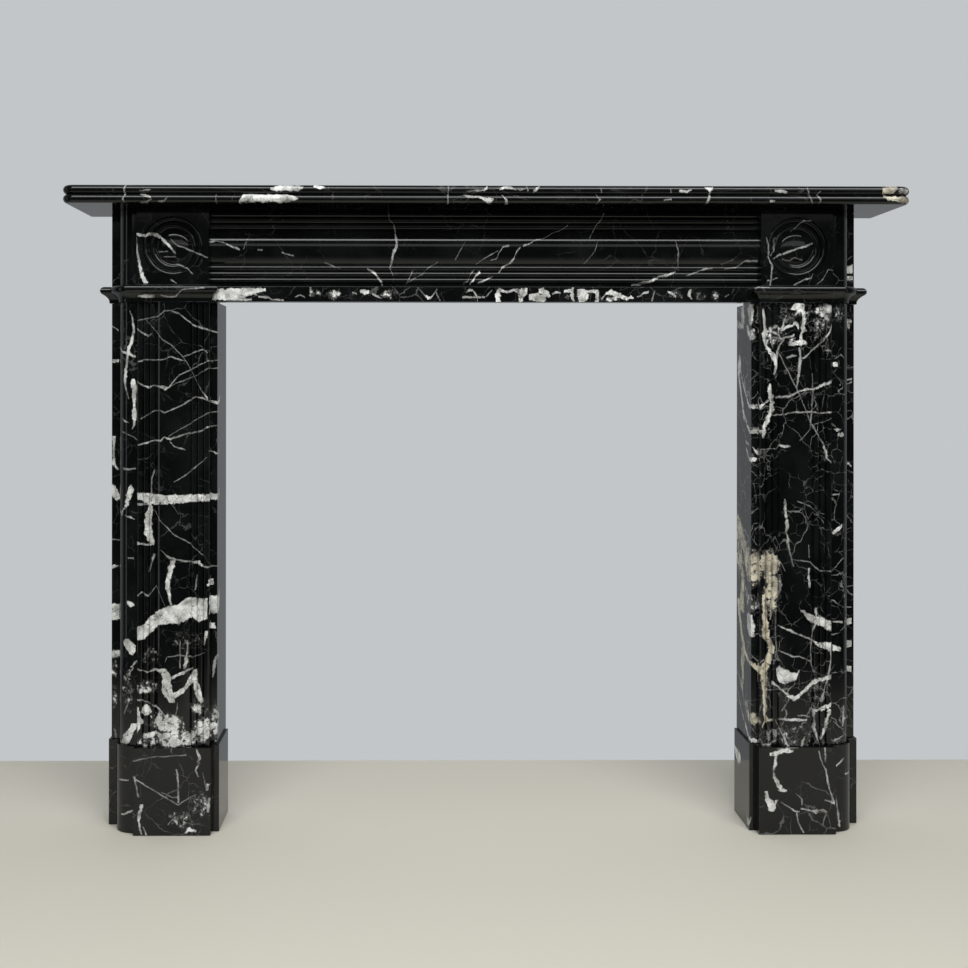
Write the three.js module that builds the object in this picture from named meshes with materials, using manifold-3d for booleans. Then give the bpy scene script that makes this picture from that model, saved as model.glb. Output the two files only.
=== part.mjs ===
// A bullseye chimneypiece in polished black marble, standing on a floor against a wall.
// Millimetres, +Z up. The front faces -Y. The origin is on the floor, at the middle of the
// overall width and depth, so the wall plane is half the shelf's depth behind it.
// Depths are measured from the wall plane towards the room.

import * as THREE from 'three';
import { mergeVertices } from 'three/addons/utils/BufferGeometryUtils.js';
import Module from 'manifold-3d';

// Fire opening
const openingWidth = 1047;
const openingHeight = 1034;

// Piers: across the front, from the opening outwards
const slabThickness = 20;
const returnMargin = 13;
const panelWidth = 141;
const postWidth = 42;
const postFlat = 4;

// Piers: depths from the wall
const panelCrestDepth = 135.5;
const panelThickness = 23.5;
const postDepth = 121;
const postTail = 12;
const slipDepth = 72;

// Reeded moulding of the jambs and the frieze: a bold torus between groups of small reeds
const reedPitch = 12;
const reedCount = 3;
const reedRise = 6;
const torusRise = 12.5;

// Plinths stand out from the jambs all round
const plinthHeight = 170;
const plinthMargin = 4.5;

// Capitals
const capitalHeight = 32;
const capitalNoseHeight = 16;
const capitalNoseDepth = 8;
const capitalOverhang = 19;
const capitalFilletHeight = 3;
const capitalFootOverhang = 4;

// Corner blocks with turned roundels
const blockDepth = 133;
const blockThickness = 36;
const roundelMargin = 12;
const outerRingWidth = 7.5;
const outerRingSink = 1;
const coveWidth = 9;
const coveDepth = 8;
const innerRingWidth = 8;
const innerRingSink = 2.5;
const bossGroove = 2.5;
const bossGrooveDepth = 8.5;
const bossSink = 0.5;

// Frieze and lintel
const friezeFillet = 4.5;
const friezeCrestDepth = 128;
const friezeThickness = 32;
const lintelHeight = 30;
const lintelDepth = 131;
const lintelThickness = 30;

// Shelf with a double-beaded edge
const shelfThickness = 34;
const shelfSideOverhang = 65.5;
const shelfFrontOverhang = 70;
const shelfCornerRadius = 22;
const beadDepth = 8.5;

// Hairline joint between neighbouring pieces
const joint = 0.3;

// Facets
const torusSteps = 14;
const reedSteps = 5;
const cornerSteps = 8;
const beadSteps = 8;
const ogeeSteps = 5;
const noseSteps = 8;
const roundelSteps = 44;
const ringSteps = 5;
const bossSteps = 4;

// Sizes and places that follow
const returnInner = openingWidth / 2;
const panelInner = returnInner + returnMargin;
const panelOuter = panelInner + panelWidth;
const postOuter = panelOuter + postWidth;
const postRadius = postWidth - joint - postFlat;
const slipOuter = postOuter + slabThickness;
const panelCentre = (panelInner + panelOuter) / 2;
const friezeHeight = panelWidth + 2 * friezeFillet;
const capitalTop = openingHeight + capitalHeight;
const shelfBottom = capitalTop + friezeHeight;
const shelfHalfWidth = slipOuter + shelfSideOverhang;
const shelfDepth = blockDepth + shelfFrontOverhang;
const wallY = shelfDepth / 2;

const wasm = await Module();
wasm.setup();

// A solid for boolean work: shared vertices merged, and the needle facets at a lathe's poles left out.
function solidOf(geometry) {
  const plain = geometry.clone();
  plain.deleteAttribute('normal');
  plain.deleteAttribute('uv');
  const merged = mergeVertices(plain);
  const corners = Array.from(merged.index.array);
  const facets = [];
  for (let i = 0; i < corners.length; i += 3) {
    const [a, b, c] = corners.slice(i, i + 3);
    if (a !== b && b !== c && c !== a) facets.push(a, b, c);
  }
  return new wasm.Manifold(new wasm.Mesh({
    numProp: 3,
    vertProperties: new Float32Array(merged.attributes.position.array),
    triVerts: new Uint32Array(facets),
  }));
}

function geometryOf(solid) {
  const mesh = solid.getMesh();
  const geometry = new THREE.BufferGeometry();
  geometry.setAttribute('position', new THREE.BufferAttribute(mesh.vertProperties, 3));
  geometry.setIndex(new THREE.BufferAttribute(mesh.triVerts, 1));
  return geometry;
}

// A closed solid through level outlines, each with the same number of points, anticlockwise from above.
function stackedGeometry(outlines) {
  const count = outlines[0].points.length;
  const positions = outlines.flatMap(({ points, z }) => points.flatMap((p) => [p.x, p.y, z]));
  const index = [];
  for (let level = 0; level + 1 < outlines.length; level += 1) {
    for (let i = 0; i < count; i += 1) {
      const a = level * count + i;
      const b = level * count + ((i + 1) % count);
      index.push(a, b, b + count, a, b + count, a + count);
    }
  }
  const last = (outlines.length - 1) * count;
  for (const [a, b, c] of THREE.ShapeUtils.triangulateShape(outlines[0].points, [])) index.push(c, b, a);
  for (const [a, b, c] of THREE.ShapeUtils.triangulateShape(outlines.at(-1).points, [])) {
    index.push(last + a, last + b, last + c);
  }
  const geometry = new THREE.BufferGeometry();
  geometry.setAttribute('position', new THREE.Float32BufferAttribute(positions, 3));
  geometry.setIndex(index);
  return geometry;
}

// An outline drawn for the right side, put on either side with its direction kept.
function sided(points, side) {
  const placed = points.map((p) => new THREE.Vector2(side * p.x, p.y));
  return side < 0 ? placed.reverse() : placed;
}

function rectangle(left, right, depth, backDepth) {
  return [
    new THREE.Vector2(left, wallY - depth),
    new THREE.Vector2(right, wallY - depth),
    new THREE.Vector2(right, wallY - backDepth),
    new THREE.Vector2(left, wallY - backDepth),
  ];
}

// A rectangle whose front outer corner is rounded.
function roundedPost(left, right, depth, backDepth, radius) {
  const arc = new THREE.EllipseCurve(right - radius, wallY - depth + radius, radius, radius, -Math.PI / 2, 0);
  return [
    new THREE.Vector2(left, wallY - depth),
    ...arc.getPoints(cornerSteps),
    new THREE.Vector2(right, wallY - backDepth),
    new THREE.Vector2(left, wallY - backDepth),
  ];
}

function upright(points, bottom, top) {
  const geometry = new THREE.ExtrudeGeometry(new THREE.Shape(points), {
    depth: top - bottom,
    bevelEnabled: false,
  });
  geometry.translate(0, 0, bottom);
  return geometry;
}

// One bead of the moulding, as points over its chord from start to end, rising by its rise.
function beadPoints(start, end, base, rise, steps) {
  const half = (end - start) / 2;
  const radius = (half * half + rise * rise) / (2 * rise);
  const reach = 2 * Math.atan2(rise, half);
  const points = [];
  for (let i = 0; i <= steps; i += 1) {
    const angle = reach * ((2 * i) / steps - 1);
    points.push(new THREE.Vector2(
      (start + end) / 2 + radius * Math.sin(angle),
      base + rise - radius * (1 - Math.cos(angle)),
    ));
  }
  return points;
}

// The reeded face across its width, centred on nought: x is across and y is the depth from the wall.
function reededFace(crestDepth) {
  const edge = panelWidth / 2;
  const torusHalf = edge - reedCount * reedPitch;
  const valley = crestDepth - torusRise;
  const starts = [];
  for (let i = 0; i < reedCount; i += 1) starts.push(-edge + i * reedPitch);
  const reeds = starts.map((start) => beadPoints(start, start + reedPitch, valley, reedRise, reedSteps));
  const left = reeds.flatMap((bead) => bead.slice(0, -1));
  const right = left.map((p) => new THREE.Vector2(-p.x, p.y)).reverse();
  return [...left, ...beadPoints(-torusHalf, torusHalf, valley, torusRise, torusSteps), ...right];
}

function jambPanel(side, bottom, top) {
  const backDepth = panelCrestDepth - panelThickness;
  const half = panelWidth / 2;
  const section = [
    ...reededFace(panelCrestDepth),
    new THREE.Vector2(half, backDepth),
    new THREE.Vector2(-half, backDepth),
  ];
  return upright(section.map((p) => new THREE.Vector2(side * panelCentre + p.x, wallY - p.y)), bottom, top);
}

// The frieze runs along X: its section is drawn with the height along -x, and turned upright.
function friezePanel() {
  const centre = capitalTop + friezeHeight / 2;
  const bottom = openingHeight + lintelHeight;
  const top = shelfBottom - joint;
  const valley = friezeCrestDepth - torusRise;
  const backDepth = friezeCrestDepth - friezeThickness;
  const section = [
    new THREE.Vector2(bottom, backDepth),
    new THREE.Vector2(bottom, valley),
    ...reededFace(friezeCrestDepth).map((p) => new THREE.Vector2(centre + p.x, p.y)),
    new THREE.Vector2(top, valley),
    new THREE.Vector2(top, backDepth),
  ];
  const half = panelInner - joint;
  const geometry = new THREE.ExtrudeGeometry(
    new THREE.Shape(section.map((p) => new THREE.Vector2(-p.x, wallY - p.y))),
    { depth: 2 * half, bevelEnabled: false },
  );
  geometry.translate(0, 0, -half);
  geometry.rotateY(Math.PI / 2);
  return geometry;
}

function lintelBand() {
  const half = panelInner - joint;
  const outline = rectangle(-half, half, lintelDepth, lintelDepth - lintelThickness);
  return upright(outline, openingHeight, openingHeight + lintelHeight - joint);
}

// The capital's section from its foot up: x is the overhang and y the height.
function capitalSection() {
  const noseCentre = capitalHeight - capitalNoseHeight / 2;
  const noseBase = capitalOverhang - capitalNoseDepth;
  const noseStart = -Math.PI / 3;
  const nose = new THREE.EllipseCurve(
    noseBase, noseCentre, capitalNoseDepth, capitalNoseHeight / 2, noseStart, Math.PI / 2,
  ).getPoints(noseSteps);
  const foot = new THREE.Vector2(capitalFootOverhang, capitalFilletHeight);
  const middle = (foot.y + nose[0].y) / 2;
  const ogee = new THREE.CubicBezierCurve(
    foot,
    new THREE.Vector2(foot.x, middle),
    new THREE.Vector2(nose[0].x, middle),
    nose[0],
  ).getPoints(ogeeSteps);
  return [new THREE.Vector2(capitalFootOverhang, 0), ...ogee, ...nose.slice(1)];
}

// The moulding breaks round the panel, the quarter-round post and the slip, as the pier does below it.
function capital(side) {
  const levels = capitalSection();
  const bodies = [
    (over) => rectangle(panelInner - over, panelOuter + over, blockDepth + over, 0),
    (over) => roundedPost(panelCentre, postOuter + over, postDepth + over, 0, postRadius + over),
    (over) => rectangle(panelCentre, slipOuter + over, slipDepth + over, 0),
  ];
  const parts = bodies.map((plan) => solidOf(stackedGeometry(levels.map((level) => ({
    points: sided(plan(level.x), side),
    z: level.y,
  })))));
  const plate = parts.reduce((whole, part) => whole.add(part));
  const reach = 2 * capitalOverhang;
  const lintelSeat = upright(
    sided(rectangle(panelInner - reach, panelInner, lintelDepth + joint, -reach), side),
    -reach,
    capitalHeight + reach,
  );
  const squareTop = upright(
    sided(rectangle(panelInner - reach, slipOuter + reach, blockDepth + reach, -reach), side),
    capitalHeight - joint,
    capitalHeight + reach,
  );
  const geometry = geometryOf(plate.subtract(solidOf(lintelSeat)).subtract(solidOf(squareTop)));
  geometry.translate(0, 0, openingHeight);
  return geometry;
}

// The roundel's face from its rim to its centre: x is the radius and y the height over the block's face.
function roundelFace() {
  const rim = panelWidth / 2 - roundelMargin;
  const coveOuter = rim - outerRingWidth;
  const coveInner = coveOuter - coveWidth;
  const innerRingInner = coveInner - innerRingWidth;
  const bossRadius = innerRingInner - bossGroove;
  const ring = (outer, inner, sink, floorDepth) => new THREE.EllipseCurve(
    (outer + inner) / 2, -floorDepth, (outer - inner) / 2, floorDepth - sink, 0, Math.PI,
  ).getPoints(ringSteps);
  const cove = new THREE.CubicBezierCurve(
    new THREE.Vector2(coveOuter, -coveDepth / 2),
    new THREE.Vector2(coveOuter - coveWidth / 4, -coveDepth),
    new THREE.Vector2(coveOuter - coveWidth / 2, -coveDepth),
    new THREE.Vector2(coveInner, -coveDepth),
  ).getPoints(ringSteps);
  const boss = new THREE.EllipseCurve(
    0, -bossGrooveDepth, bossRadius, bossGrooveDepth - bossSink, 0, Math.PI / 2,
  ).getPoints(2 * bossSteps);
  return [
    ...ring(rim, coveOuter, outerRingSink, coveDepth / 2),
    ...cove.slice(1, -1),
    ...ring(coveInner, innerRingInner, innerRingSink, coveDepth),
    new THREE.Vector2(innerRingInner - bossGroove / 2, -bossGrooveDepth),
    ...boss,
  ];
}

function cornerBlock(side) {
  const block = upright(
    sided(rectangle(panelInner, panelOuter, blockDepth, blockDepth - blockThickness), side),
    capitalTop,
    shelfBottom - joint,
  );
  const clear = 5;
  const face = roundelFace();
  const rim = face[0].x;
  const turned = new THREE.LatheGeometry(
    [...face.reverse(), new THREE.Vector2(rim, clear), new THREE.Vector2(0, clear)],
    roundelSteps,
  );
  turned.rotateX(Math.PI);
  turned.translate(side * panelCentre, wallY - blockDepth, capitalTop + friezeHeight / 2);
  return geometryOf(solidOf(block).subtract(solidOf(turned)));
}

// The shelf's edge from the underside up: x is the overhang beyond the bead's root and y the height.
function shelfSection() {
  const half = shelfThickness / 4;
  const bead = (centre) => new THREE.EllipseCurve(
    0, centre, beadDepth, half, -Math.PI / 2, Math.PI / 2,
  ).getPoints(beadSteps);
  return [...bead(half), ...bead(3 * half).slice(1)];
}

function shelfOutline(over) {
  const half = shelfHalfWidth - beadDepth + over;
  const front = wallY - shelfDepth + beadDepth - over;
  const radius = shelfCornerRadius - beadDepth + over;
  const corner = (x, start) => new THREE.EllipseCurve(x, front + radius, radius, radius, start, start + Math.PI / 2);
  return [
    new THREE.Vector2(-half, wallY),
    ...corner(radius - half, Math.PI).getPoints(cornerSteps),
    ...corner(half - radius, 1.5 * Math.PI).getPoints(cornerSteps),
    new THREE.Vector2(half, wallY),
  ];
}

function shelf() {
  return stackedGeometry(shelfSection().map((level) => ({
    points: shelfOutline(level.x),
    z: shelfBottom + level.y,
  })));
}

const mantel = new THREE.Group();

function addPiece(name, geometry) {
  const marble = new THREE.MeshStandardMaterial({ color: 0x15171a, roughness: 0.1, metalness: 0 });
  const piece = new THREE.Mesh(geometry, marble);
  piece.name = name;
  mantel.add(piece);
}

// The post and the outer slip of one storey, larger all round by a margin.
function addPostAndSlip(name, side, bottom, top, margin) {
  const outer = postOuter + margin;
  const post = roundedPost(
    panelOuter + margin + joint,
    outer,
    postDepth + margin,
    slipDepth + margin - postTail,
    postRadius,
  );
  const slip = rectangle(outer + joint, slipOuter + margin, slipDepth + margin, 0);
  addPiece(`${name}_corner_post`, upright(sided(post, side), bottom, top));
  addPiece(`${name}_side_slip`, upright(sided(slip, side), bottom, top));
}

function addReturn(name, side, bottom, top, margin) {
  const inner = returnInner - margin;
  const depth = panelCrestDepth - panelThickness + margin - joint;
  addPiece(`${name}_return`, upright(sided(rectangle(inner, inner + slabThickness, depth, 0), side), bottom, top));
}

for (const [word, side] of [['left', -1], ['right', 1]]) {
  const plinthTop = plinthHeight - joint;
  const plinthFace = panelCrestDepth + plinthMargin;
  const plinthBlock = rectangle(
    panelInner - plinthMargin,
    panelOuter + plinthMargin,
    plinthFace,
    plinthFace - panelThickness,
  );
  addPiece(`${word}_plinth_block`, upright(sided(plinthBlock, side), 0, plinthTop));
  addPostAndSlip(`${word}_plinth`, side, 0, plinthTop, plinthMargin);
  addReturn(`${word}_plinth`, side, 0, plinthTop, plinthMargin);

  const jambTop = openingHeight - joint;
  addPiece(`${word}_jamb_panel`, jambPanel(side, plinthHeight, jambTop));
  addPostAndSlip(`${word}_jamb`, side, plinthHeight, jambTop, 0);
  addReturn(`${word}_jamb`, side, plinthHeight, jambTop, 0);

  addPiece(`${word}_capital`, capital(side));
  addPiece(`${word}_corner_block`, cornerBlock(side));
  addPostAndSlip(`${word}_frieze`, side, capitalTop, shelfBottom - joint, 0);
}
addPiece('lintel_band', lintelBand());
addPiece('frieze_panel', friezePanel());
addPiece('shelf', shelf());

export default mantel;
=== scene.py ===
import math

import bmesh
import bpy
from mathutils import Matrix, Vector


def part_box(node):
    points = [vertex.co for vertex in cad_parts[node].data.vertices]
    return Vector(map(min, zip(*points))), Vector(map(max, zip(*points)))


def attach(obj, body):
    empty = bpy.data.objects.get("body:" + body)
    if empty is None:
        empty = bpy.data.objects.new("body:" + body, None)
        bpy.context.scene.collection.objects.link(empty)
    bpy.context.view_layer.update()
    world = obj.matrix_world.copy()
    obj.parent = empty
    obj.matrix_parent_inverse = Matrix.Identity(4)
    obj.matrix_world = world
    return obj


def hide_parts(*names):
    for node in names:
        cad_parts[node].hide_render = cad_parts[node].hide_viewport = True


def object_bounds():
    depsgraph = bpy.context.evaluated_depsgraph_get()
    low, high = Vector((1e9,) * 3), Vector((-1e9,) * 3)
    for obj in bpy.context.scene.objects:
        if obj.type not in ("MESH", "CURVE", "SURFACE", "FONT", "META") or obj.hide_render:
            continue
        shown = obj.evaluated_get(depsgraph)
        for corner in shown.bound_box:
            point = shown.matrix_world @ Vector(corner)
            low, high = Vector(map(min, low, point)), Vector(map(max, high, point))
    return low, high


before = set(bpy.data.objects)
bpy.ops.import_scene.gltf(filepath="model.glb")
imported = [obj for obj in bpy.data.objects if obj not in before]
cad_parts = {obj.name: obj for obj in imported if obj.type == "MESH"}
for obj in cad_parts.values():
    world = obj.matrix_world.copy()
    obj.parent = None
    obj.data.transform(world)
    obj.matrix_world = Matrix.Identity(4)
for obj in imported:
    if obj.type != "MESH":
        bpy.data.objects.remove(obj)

bl_info = {
    "name": "Bullseye Chimneypiece",
    "version": (1, 0, 0),
    "blender": (4, 5, 0),
    "location": "3D View > Sidebar > Chimneypiece",
    "description": "Models and finishes a reeded bullseye chimneypiece in polished black marble",
    "category": "Add Mesh",
}

CAD_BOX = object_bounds()
SIDES = {"left": -1, "right": 1}
BODY = "root"
WALL_Y = CAD_BOX[1].y
ROUND_STEPS = 20


# Properties

class MouldingSettings(bpy.types.PropertyGroup):
    """Sizes of the mouldings that the frame's boxes don't give"""

    arris: bpy.props.FloatProperty(
        name="Arris", description="Width of the softened edge of each slab",
        default=0.0009, min=0.0001, max=0.004, unit="LENGTH", subtype="DISTANCE")
    reed_pitch: bpy.props.FloatProperty(
        name="Reed pitch", description="Width of one small reed",
        default=0.012, min=0.004, max=0.03, unit="LENGTH", subtype="DISTANCE")
    reed_count: bpy.props.IntProperty(
        name="Reeds", description="Small reeds on each side of the torus", default=3, min=1, max=6)
    reed_rise: bpy.props.FloatProperty(
        name="Reed rise", description="Height of a reed over the valleys",
        default=0.006, min=0.001, max=0.02, unit="LENGTH", subtype="DISTANCE")
    torus_rise: bpy.props.FloatProperty(
        name="Torus rise", description="Height of the broad torus over the valleys",
        default=0.0125, min=0.002, max=0.04, unit="LENGTH", subtype="DISTANCE")
    frieze_fillet: bpy.props.FloatProperty(
        name="Frieze fillet", description="Plain margin above and below the frieze's reeds",
        default=0.0045, min=0.0, max=0.02, unit="LENGTH", subtype="DISTANCE")
    post_flat: bpy.props.FloatProperty(
        name="Post flat", description="Flat between the panel and the post's round",
        default=0.004, min=0.0, max=0.02, unit="LENGTH", subtype="DISTANCE")
    shelf_corner: bpy.props.FloatProperty(
        name="Shelf corner", description="Radius of the shelf's front corners in plan",
        default=0.022, min=0.01, max=0.1, unit="LENGTH", subtype="DISTANCE")
    roundel_margin: bpy.props.FloatProperty(
        name="Roundel margin", description="Block face left beside the roundel",
        default=0.012, min=0.002, max=0.04, unit="LENGTH", subtype="DISTANCE")


class StoneSettings(bpy.types.PropertyGroup):
    """Colours and polish of the marble"""

    ground: bpy.props.FloatVectorProperty(
        name="Ground", description="Black of the stone", subtype="COLOR", size=3, min=0, max=1,
        default=(0.0022, 0.0026, 0.0027))
    haze: bpy.props.FloatVectorProperty(
        name="Haze", description="Dark grey clouds in the black", subtype="COLOR", size=3, min=0, max=1,
        default=(0.0085, 0.0098, 0.0098))
    vein: bpy.props.FloatVectorProperty(
        name="Vein", description="White of the calcite veins", subtype="COLOR", size=3, min=0, max=1,
        default=(0.80, 0.81, 0.79))
    stain: bpy.props.FloatVectorProperty(
        name="Stain", description="Grey and cream inside the broad veins", subtype="COLOR", size=3,
        min=0, max=1, default=(0.34, 0.335, 0.31))
    polish: bpy.props.FloatProperty(
        name="Polish", description="Roughness of the polished black ground", default=0.07, min=0, max=1,
        subtype="FACTOR")
    vein_polish: bpy.props.FloatProperty(
        name="Vein polish", description="Roughness of the white veins", default=0.16, min=0, max=1,
        subtype="FACTOR")
    web: bpy.props.FloatProperty(
        name="Web", description="Strength of the hairline network", default=0.12, min=0, max=1,
        subtype="FACTOR")
    web_scale: bpy.props.FloatProperty(
        name="Web scale", description="Meshes of the hairline network in a metre", default=15.0, min=1)
    breaks: bpy.props.FloatProperty(
        name="Breaks", description="Strength of the dark cracks across the white veins", default=0.7,
        min=0, max=1, subtype="FACTOR")


class StudioSettings(bpy.types.PropertyGroup):
    """Camera, light and floor"""

    camera_place: bpy.props.FloatVectorProperty(
        name="Camera", description="Place of the camera", subtype="TRANSLATION", unit="LENGTH", size=3,
        default=(-0.132, -2.4635, 0.867))
    camera_turn: bpy.props.FloatProperty(
        name="Turn", description="Turn of the level camera to the right", subtype="ANGLE", unit="ROTATION",
        default=0.0079)
    camera_roll: bpy.props.FloatProperty(
        name="Roll", description="Roll of the camera about its line of sight", subtype="ANGLE",
        unit="ROTATION", default=0.0009)
    focal_pixels: bpy.props.FloatProperty(
        name="Focal length", description="Focal length in pixels of the image", default=1251.8, min=100)
    image_pixels: bpy.props.FloatProperty(
        name="Image side", description="Side of the square image in pixels", default=968.0, min=100)
    level_pixel: bpy.props.FloatVectorProperty(
        name="Level point", description="Pixel straight ahead of the camera", size=2,
        default=(427.4, 387.8))
    backdrop: bpy.props.FloatVectorProperty(
        name="Backdrop", description="Pale light behind the piece", subtype="COLOR", size=3, min=0, max=1,
        default=(0.54, 0.565, 0.58))
    wall_sheen: bpy.props.FloatProperty(
        name="Wall sheen", description="How bright polished faces mirror the backdrop", default=0.52, min=0,
        max=1, subtype="FACTOR")
    room: bpy.props.FloatVectorProperty(
        name="Room", description="Dim light in front of the piece", subtype="COLOR", size=3, min=0, max=1,
        default=(0.055, 0.058, 0.057))
    floor: bpy.props.FloatVectorProperty(
        name="Floor", description="Colour of the plain floor", subtype="COLOR", size=3, min=0, max=1,
        default=(0.67, 0.64, 0.555))
    floor_depth: bpy.props.FloatProperty(
        name="Floor depth", description="Floor in front of the piece", unit="LENGTH", subtype="DISTANCE",
        default=1.7, min=0.5)
    key: bpy.props.FloatProperty(
        name="Key light", description="Radiance of the broad panel above", default=6.5, min=0)
    panel: bpy.props.FloatProperty(
        name="Panel light", description="Radiance of the broad panels in front and at the left",
        default=0.8, min=0)
    fill: bpy.props.FloatProperty(
        name="Fill light", description="Radiance of the fill that polished faces don't mirror",
        default=2.2, min=0)


# Selecting and shaping

def deselect_all():
    if bpy.context.mode != "OBJECT":
        bpy.ops.object.mode_set(mode="OBJECT")
    for o in list(bpy.context.selected_objects):
        o.select_set(False)


def make_active(obj):
    deselect_all()
    obj.select_set(True)
    bpy.context.view_layer.objects.active = obj


def pick(obj, kind, test):
    """Selects only the vertices, edges or faces that pass the test. The object is in edit mode."""
    bpy.context.tool_settings.mesh_select_mode = (kind == "VERT", kind == "EDGE", kind == "FACE")
    bm = bmesh.from_edit_mesh(obj.data)
    for part in (bm.verts, bm.edges, bm.faces):
        for element in part:
            element.select = False
    chosen = {"VERT": bm.verts, "EDGE": bm.edges, "FACE": bm.faces}[kind]
    for element in chosen:
        if test(element):
            element.select_set(True)
    bm.select_flush_mode()
    bmesh.update_edit_mesh(obj.data)


def middle(edge):
    return (edge.verts[0].co + edge.verts[1].co) / 2


def near(a, b, reach=2e-5):
    return abs(a - b) < reach


def cube(name, low, high):
    """A box from corner to corner, with its place in its mesh."""
    deselect_all()
    low, high = Vector(low), Vector(high)
    bpy.ops.mesh.primitive_cube_add(size=1.0, location=(low + high) / 2, scale=high - low)
    obj = bpy.context.object
    obj.name = obj.data.name = name
    bpy.ops.object.transform_apply(location=True, rotation=True, scale=True)
    return obj


def soften(obj, width):
    """Rounds the sharp arrises of a finished slab."""
    make_active(obj)
    bevel = obj.modifiers.new("arris", "BEVEL")
    bevel.width = width
    bevel.segments = 2
    bevel.limit_method = "ANGLE"
    bevel.angle_limit = math.radians(40)
    bpy.ops.object.modifier_apply(modifier=bevel.name)


def cut_or_join(obj, other, operation):
    """Applies a boolean with another object, which is then removed."""
    make_active(obj)
    boolean = obj.modifiers.new("cut", "BOOLEAN")
    boolean.operation = operation
    boolean.solver = "EXACT"
    boolean.object = other
    bpy.ops.object.modifier_apply(modifier=boolean.name)
    bpy.data.objects.remove(other, do_unlink=True)


def settle(obj, smooth_angle=32):
    """Merges doubles, points the faces outwards and smooths the curves, with the broad faces kept flat."""
    make_active(obj)
    bpy.ops.object.mode_set(mode="EDIT")
    bpy.ops.mesh.select_all(action="SELECT")
    bpy.ops.mesh.remove_doubles(threshold=1e-5)
    bpy.ops.mesh.normals_make_consistent(inside=False)
    bpy.ops.object.mode_set(mode="OBJECT")
    bpy.ops.object.shade_smooth_by_angle(angle=math.radians(smooth_angle))
    flat = obj.modifiers.new("flat_faces", "WEIGHTED_NORMAL")
    flat.keep_sharp = True
    flat.weight = 80
    bpy.ops.object.modifier_apply(modifier=flat.name)


def finish_piece(obj, node):
    """Dresses a modelled piece and puts it in the place of its node."""
    obj.data.materials.clear()
    obj.data.materials.append(marble_material(node))
    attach(obj, BODY)
    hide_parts(node)


def piece_name(node):
    return "marble_" + node


# Shader groups

class Graph:
    """Adds nodes to a tree, with each input given as a value or a socket."""

    def __init__(self, tree):
        self.tree = tree

    def add(self, kind, inputs=None, **settings):
        node = self.tree.nodes.new(kind)
        for key, value in settings.items():
            setattr(node, key, value)
        for key, value in (inputs or {}).items():
            self.feed(node.inputs[key], value)
        return node

    def feed(self, socket, value):
        if isinstance(value, bpy.types.NodeSocket):
            self.tree.links.new(value, socket)
        else:
            socket.default_value = value

    def maths(self, operation, *values, clamp=False):
        node = self.add("ShaderNodeMath", operation=operation, use_clamp=clamp)
        for socket, value in zip(node.inputs, values):
            self.feed(socket, value)
        return node.outputs[0]

    def vector(self, operation, *values):
        node = self.add("ShaderNodeVectorMath", operation=operation)
        for socket, value in zip(node.inputs, values):
            self.feed(socket, value)
        return node.outputs["Value" if operation in ("LENGTH", "DOT_PRODUCT", "DISTANCE") else "Vector"]

    def fade(self, value, start, end, low=0.0, high=1.0):
        """A smooth change from low to high as the value goes from start to end."""
        return self.add(
            "ShaderNodeMapRange",
            {"Value": value, "From Min": start, "From Max": end, "To Min": low, "To Max": high},
            interpolation_type="SMOOTHSTEP").outputs["Result"]

    def noise(self, vector, scale, detail=2.0, rough=0.5, output="Fac"):
        return self.add(
            "ShaderNodeTexNoise",
            {"Vector": vector, "Scale": scale, "Detail": detail, "Roughness": rough}).outputs[output]

    def blend(self, share, a, b, mode="MIX"):
        """A mix of two colours. The node's sockets share their names, so those of colours go by number."""
        node = self.add("ShaderNodeMix", data_type="RGBA", blend_type=mode)
        self.feed(node.inputs["Factor"], share)
        self.feed(node.inputs[6], a)
        self.feed(node.inputs[7], b)
        return node.outputs[2]

    def place(self, group, inputs):
        node = self.tree.nodes.new("ShaderNodeGroup")
        node.node_tree = group
        for key, value in inputs.items():
            self.feed(node.inputs[key], value)
        return node.outputs


def new_group(name, inputs, outputs):
    """A node group with named sockets: (tree, graph, its input sockets, a function that feeds an output)."""
    tree = bpy.data.node_groups.new(name, "ShaderNodeTree")
    for label, kind, default in inputs:
        socket = tree.interface.new_socket(name=label, in_out="INPUT", socket_type=kind)
        if default is not None:
            socket.default_value = default
    for label, kind in outputs:
        tree.interface.new_socket(name=label, in_out="OUTPUT", socket_type=kind)
    source = tree.nodes.new("NodeGroupInput").outputs
    sink = tree.nodes.new("NodeGroupOutput").inputs
    graph = Graph(tree)

    def give(label, value):
        tree.links.new(value, sink[label])

    return tree, graph, source, give


VALUE = "NodeSocketFloat"
VECTOR = "NodeSocketVector"
COLOUR = "NodeSocketColor"


def warp_group():
    """Bends the pattern's coordinates, so that straight things in it become rough lines."""
    tree, g, source, give = new_group(
        "Stone warp",
        [("Vector", VECTOR, None), ("Scale", VALUE, 30.0), ("Reach", VALUE, 0.004), ("Detail", VALUE, 3.0)],
        [("Vector", VECTOR)])
    coarseness = 0.6
    mean = (0.5, 0.5, 0.5)
    cloud = g.noise(source["Vector"], source["Scale"], source["Detail"], coarseness, "Color")
    shift = g.add("ShaderNodeVectorMath", operation="SCALE")
    g.feed(shift.inputs[0], g.vector("SUBTRACT", cloud, mean))
    g.feed(shift.inputs["Scale"], source["Reach"])
    give("Vector", g.vector("ADD", source["Vector"], shift.outputs["Vector"]))
    return tree


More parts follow.
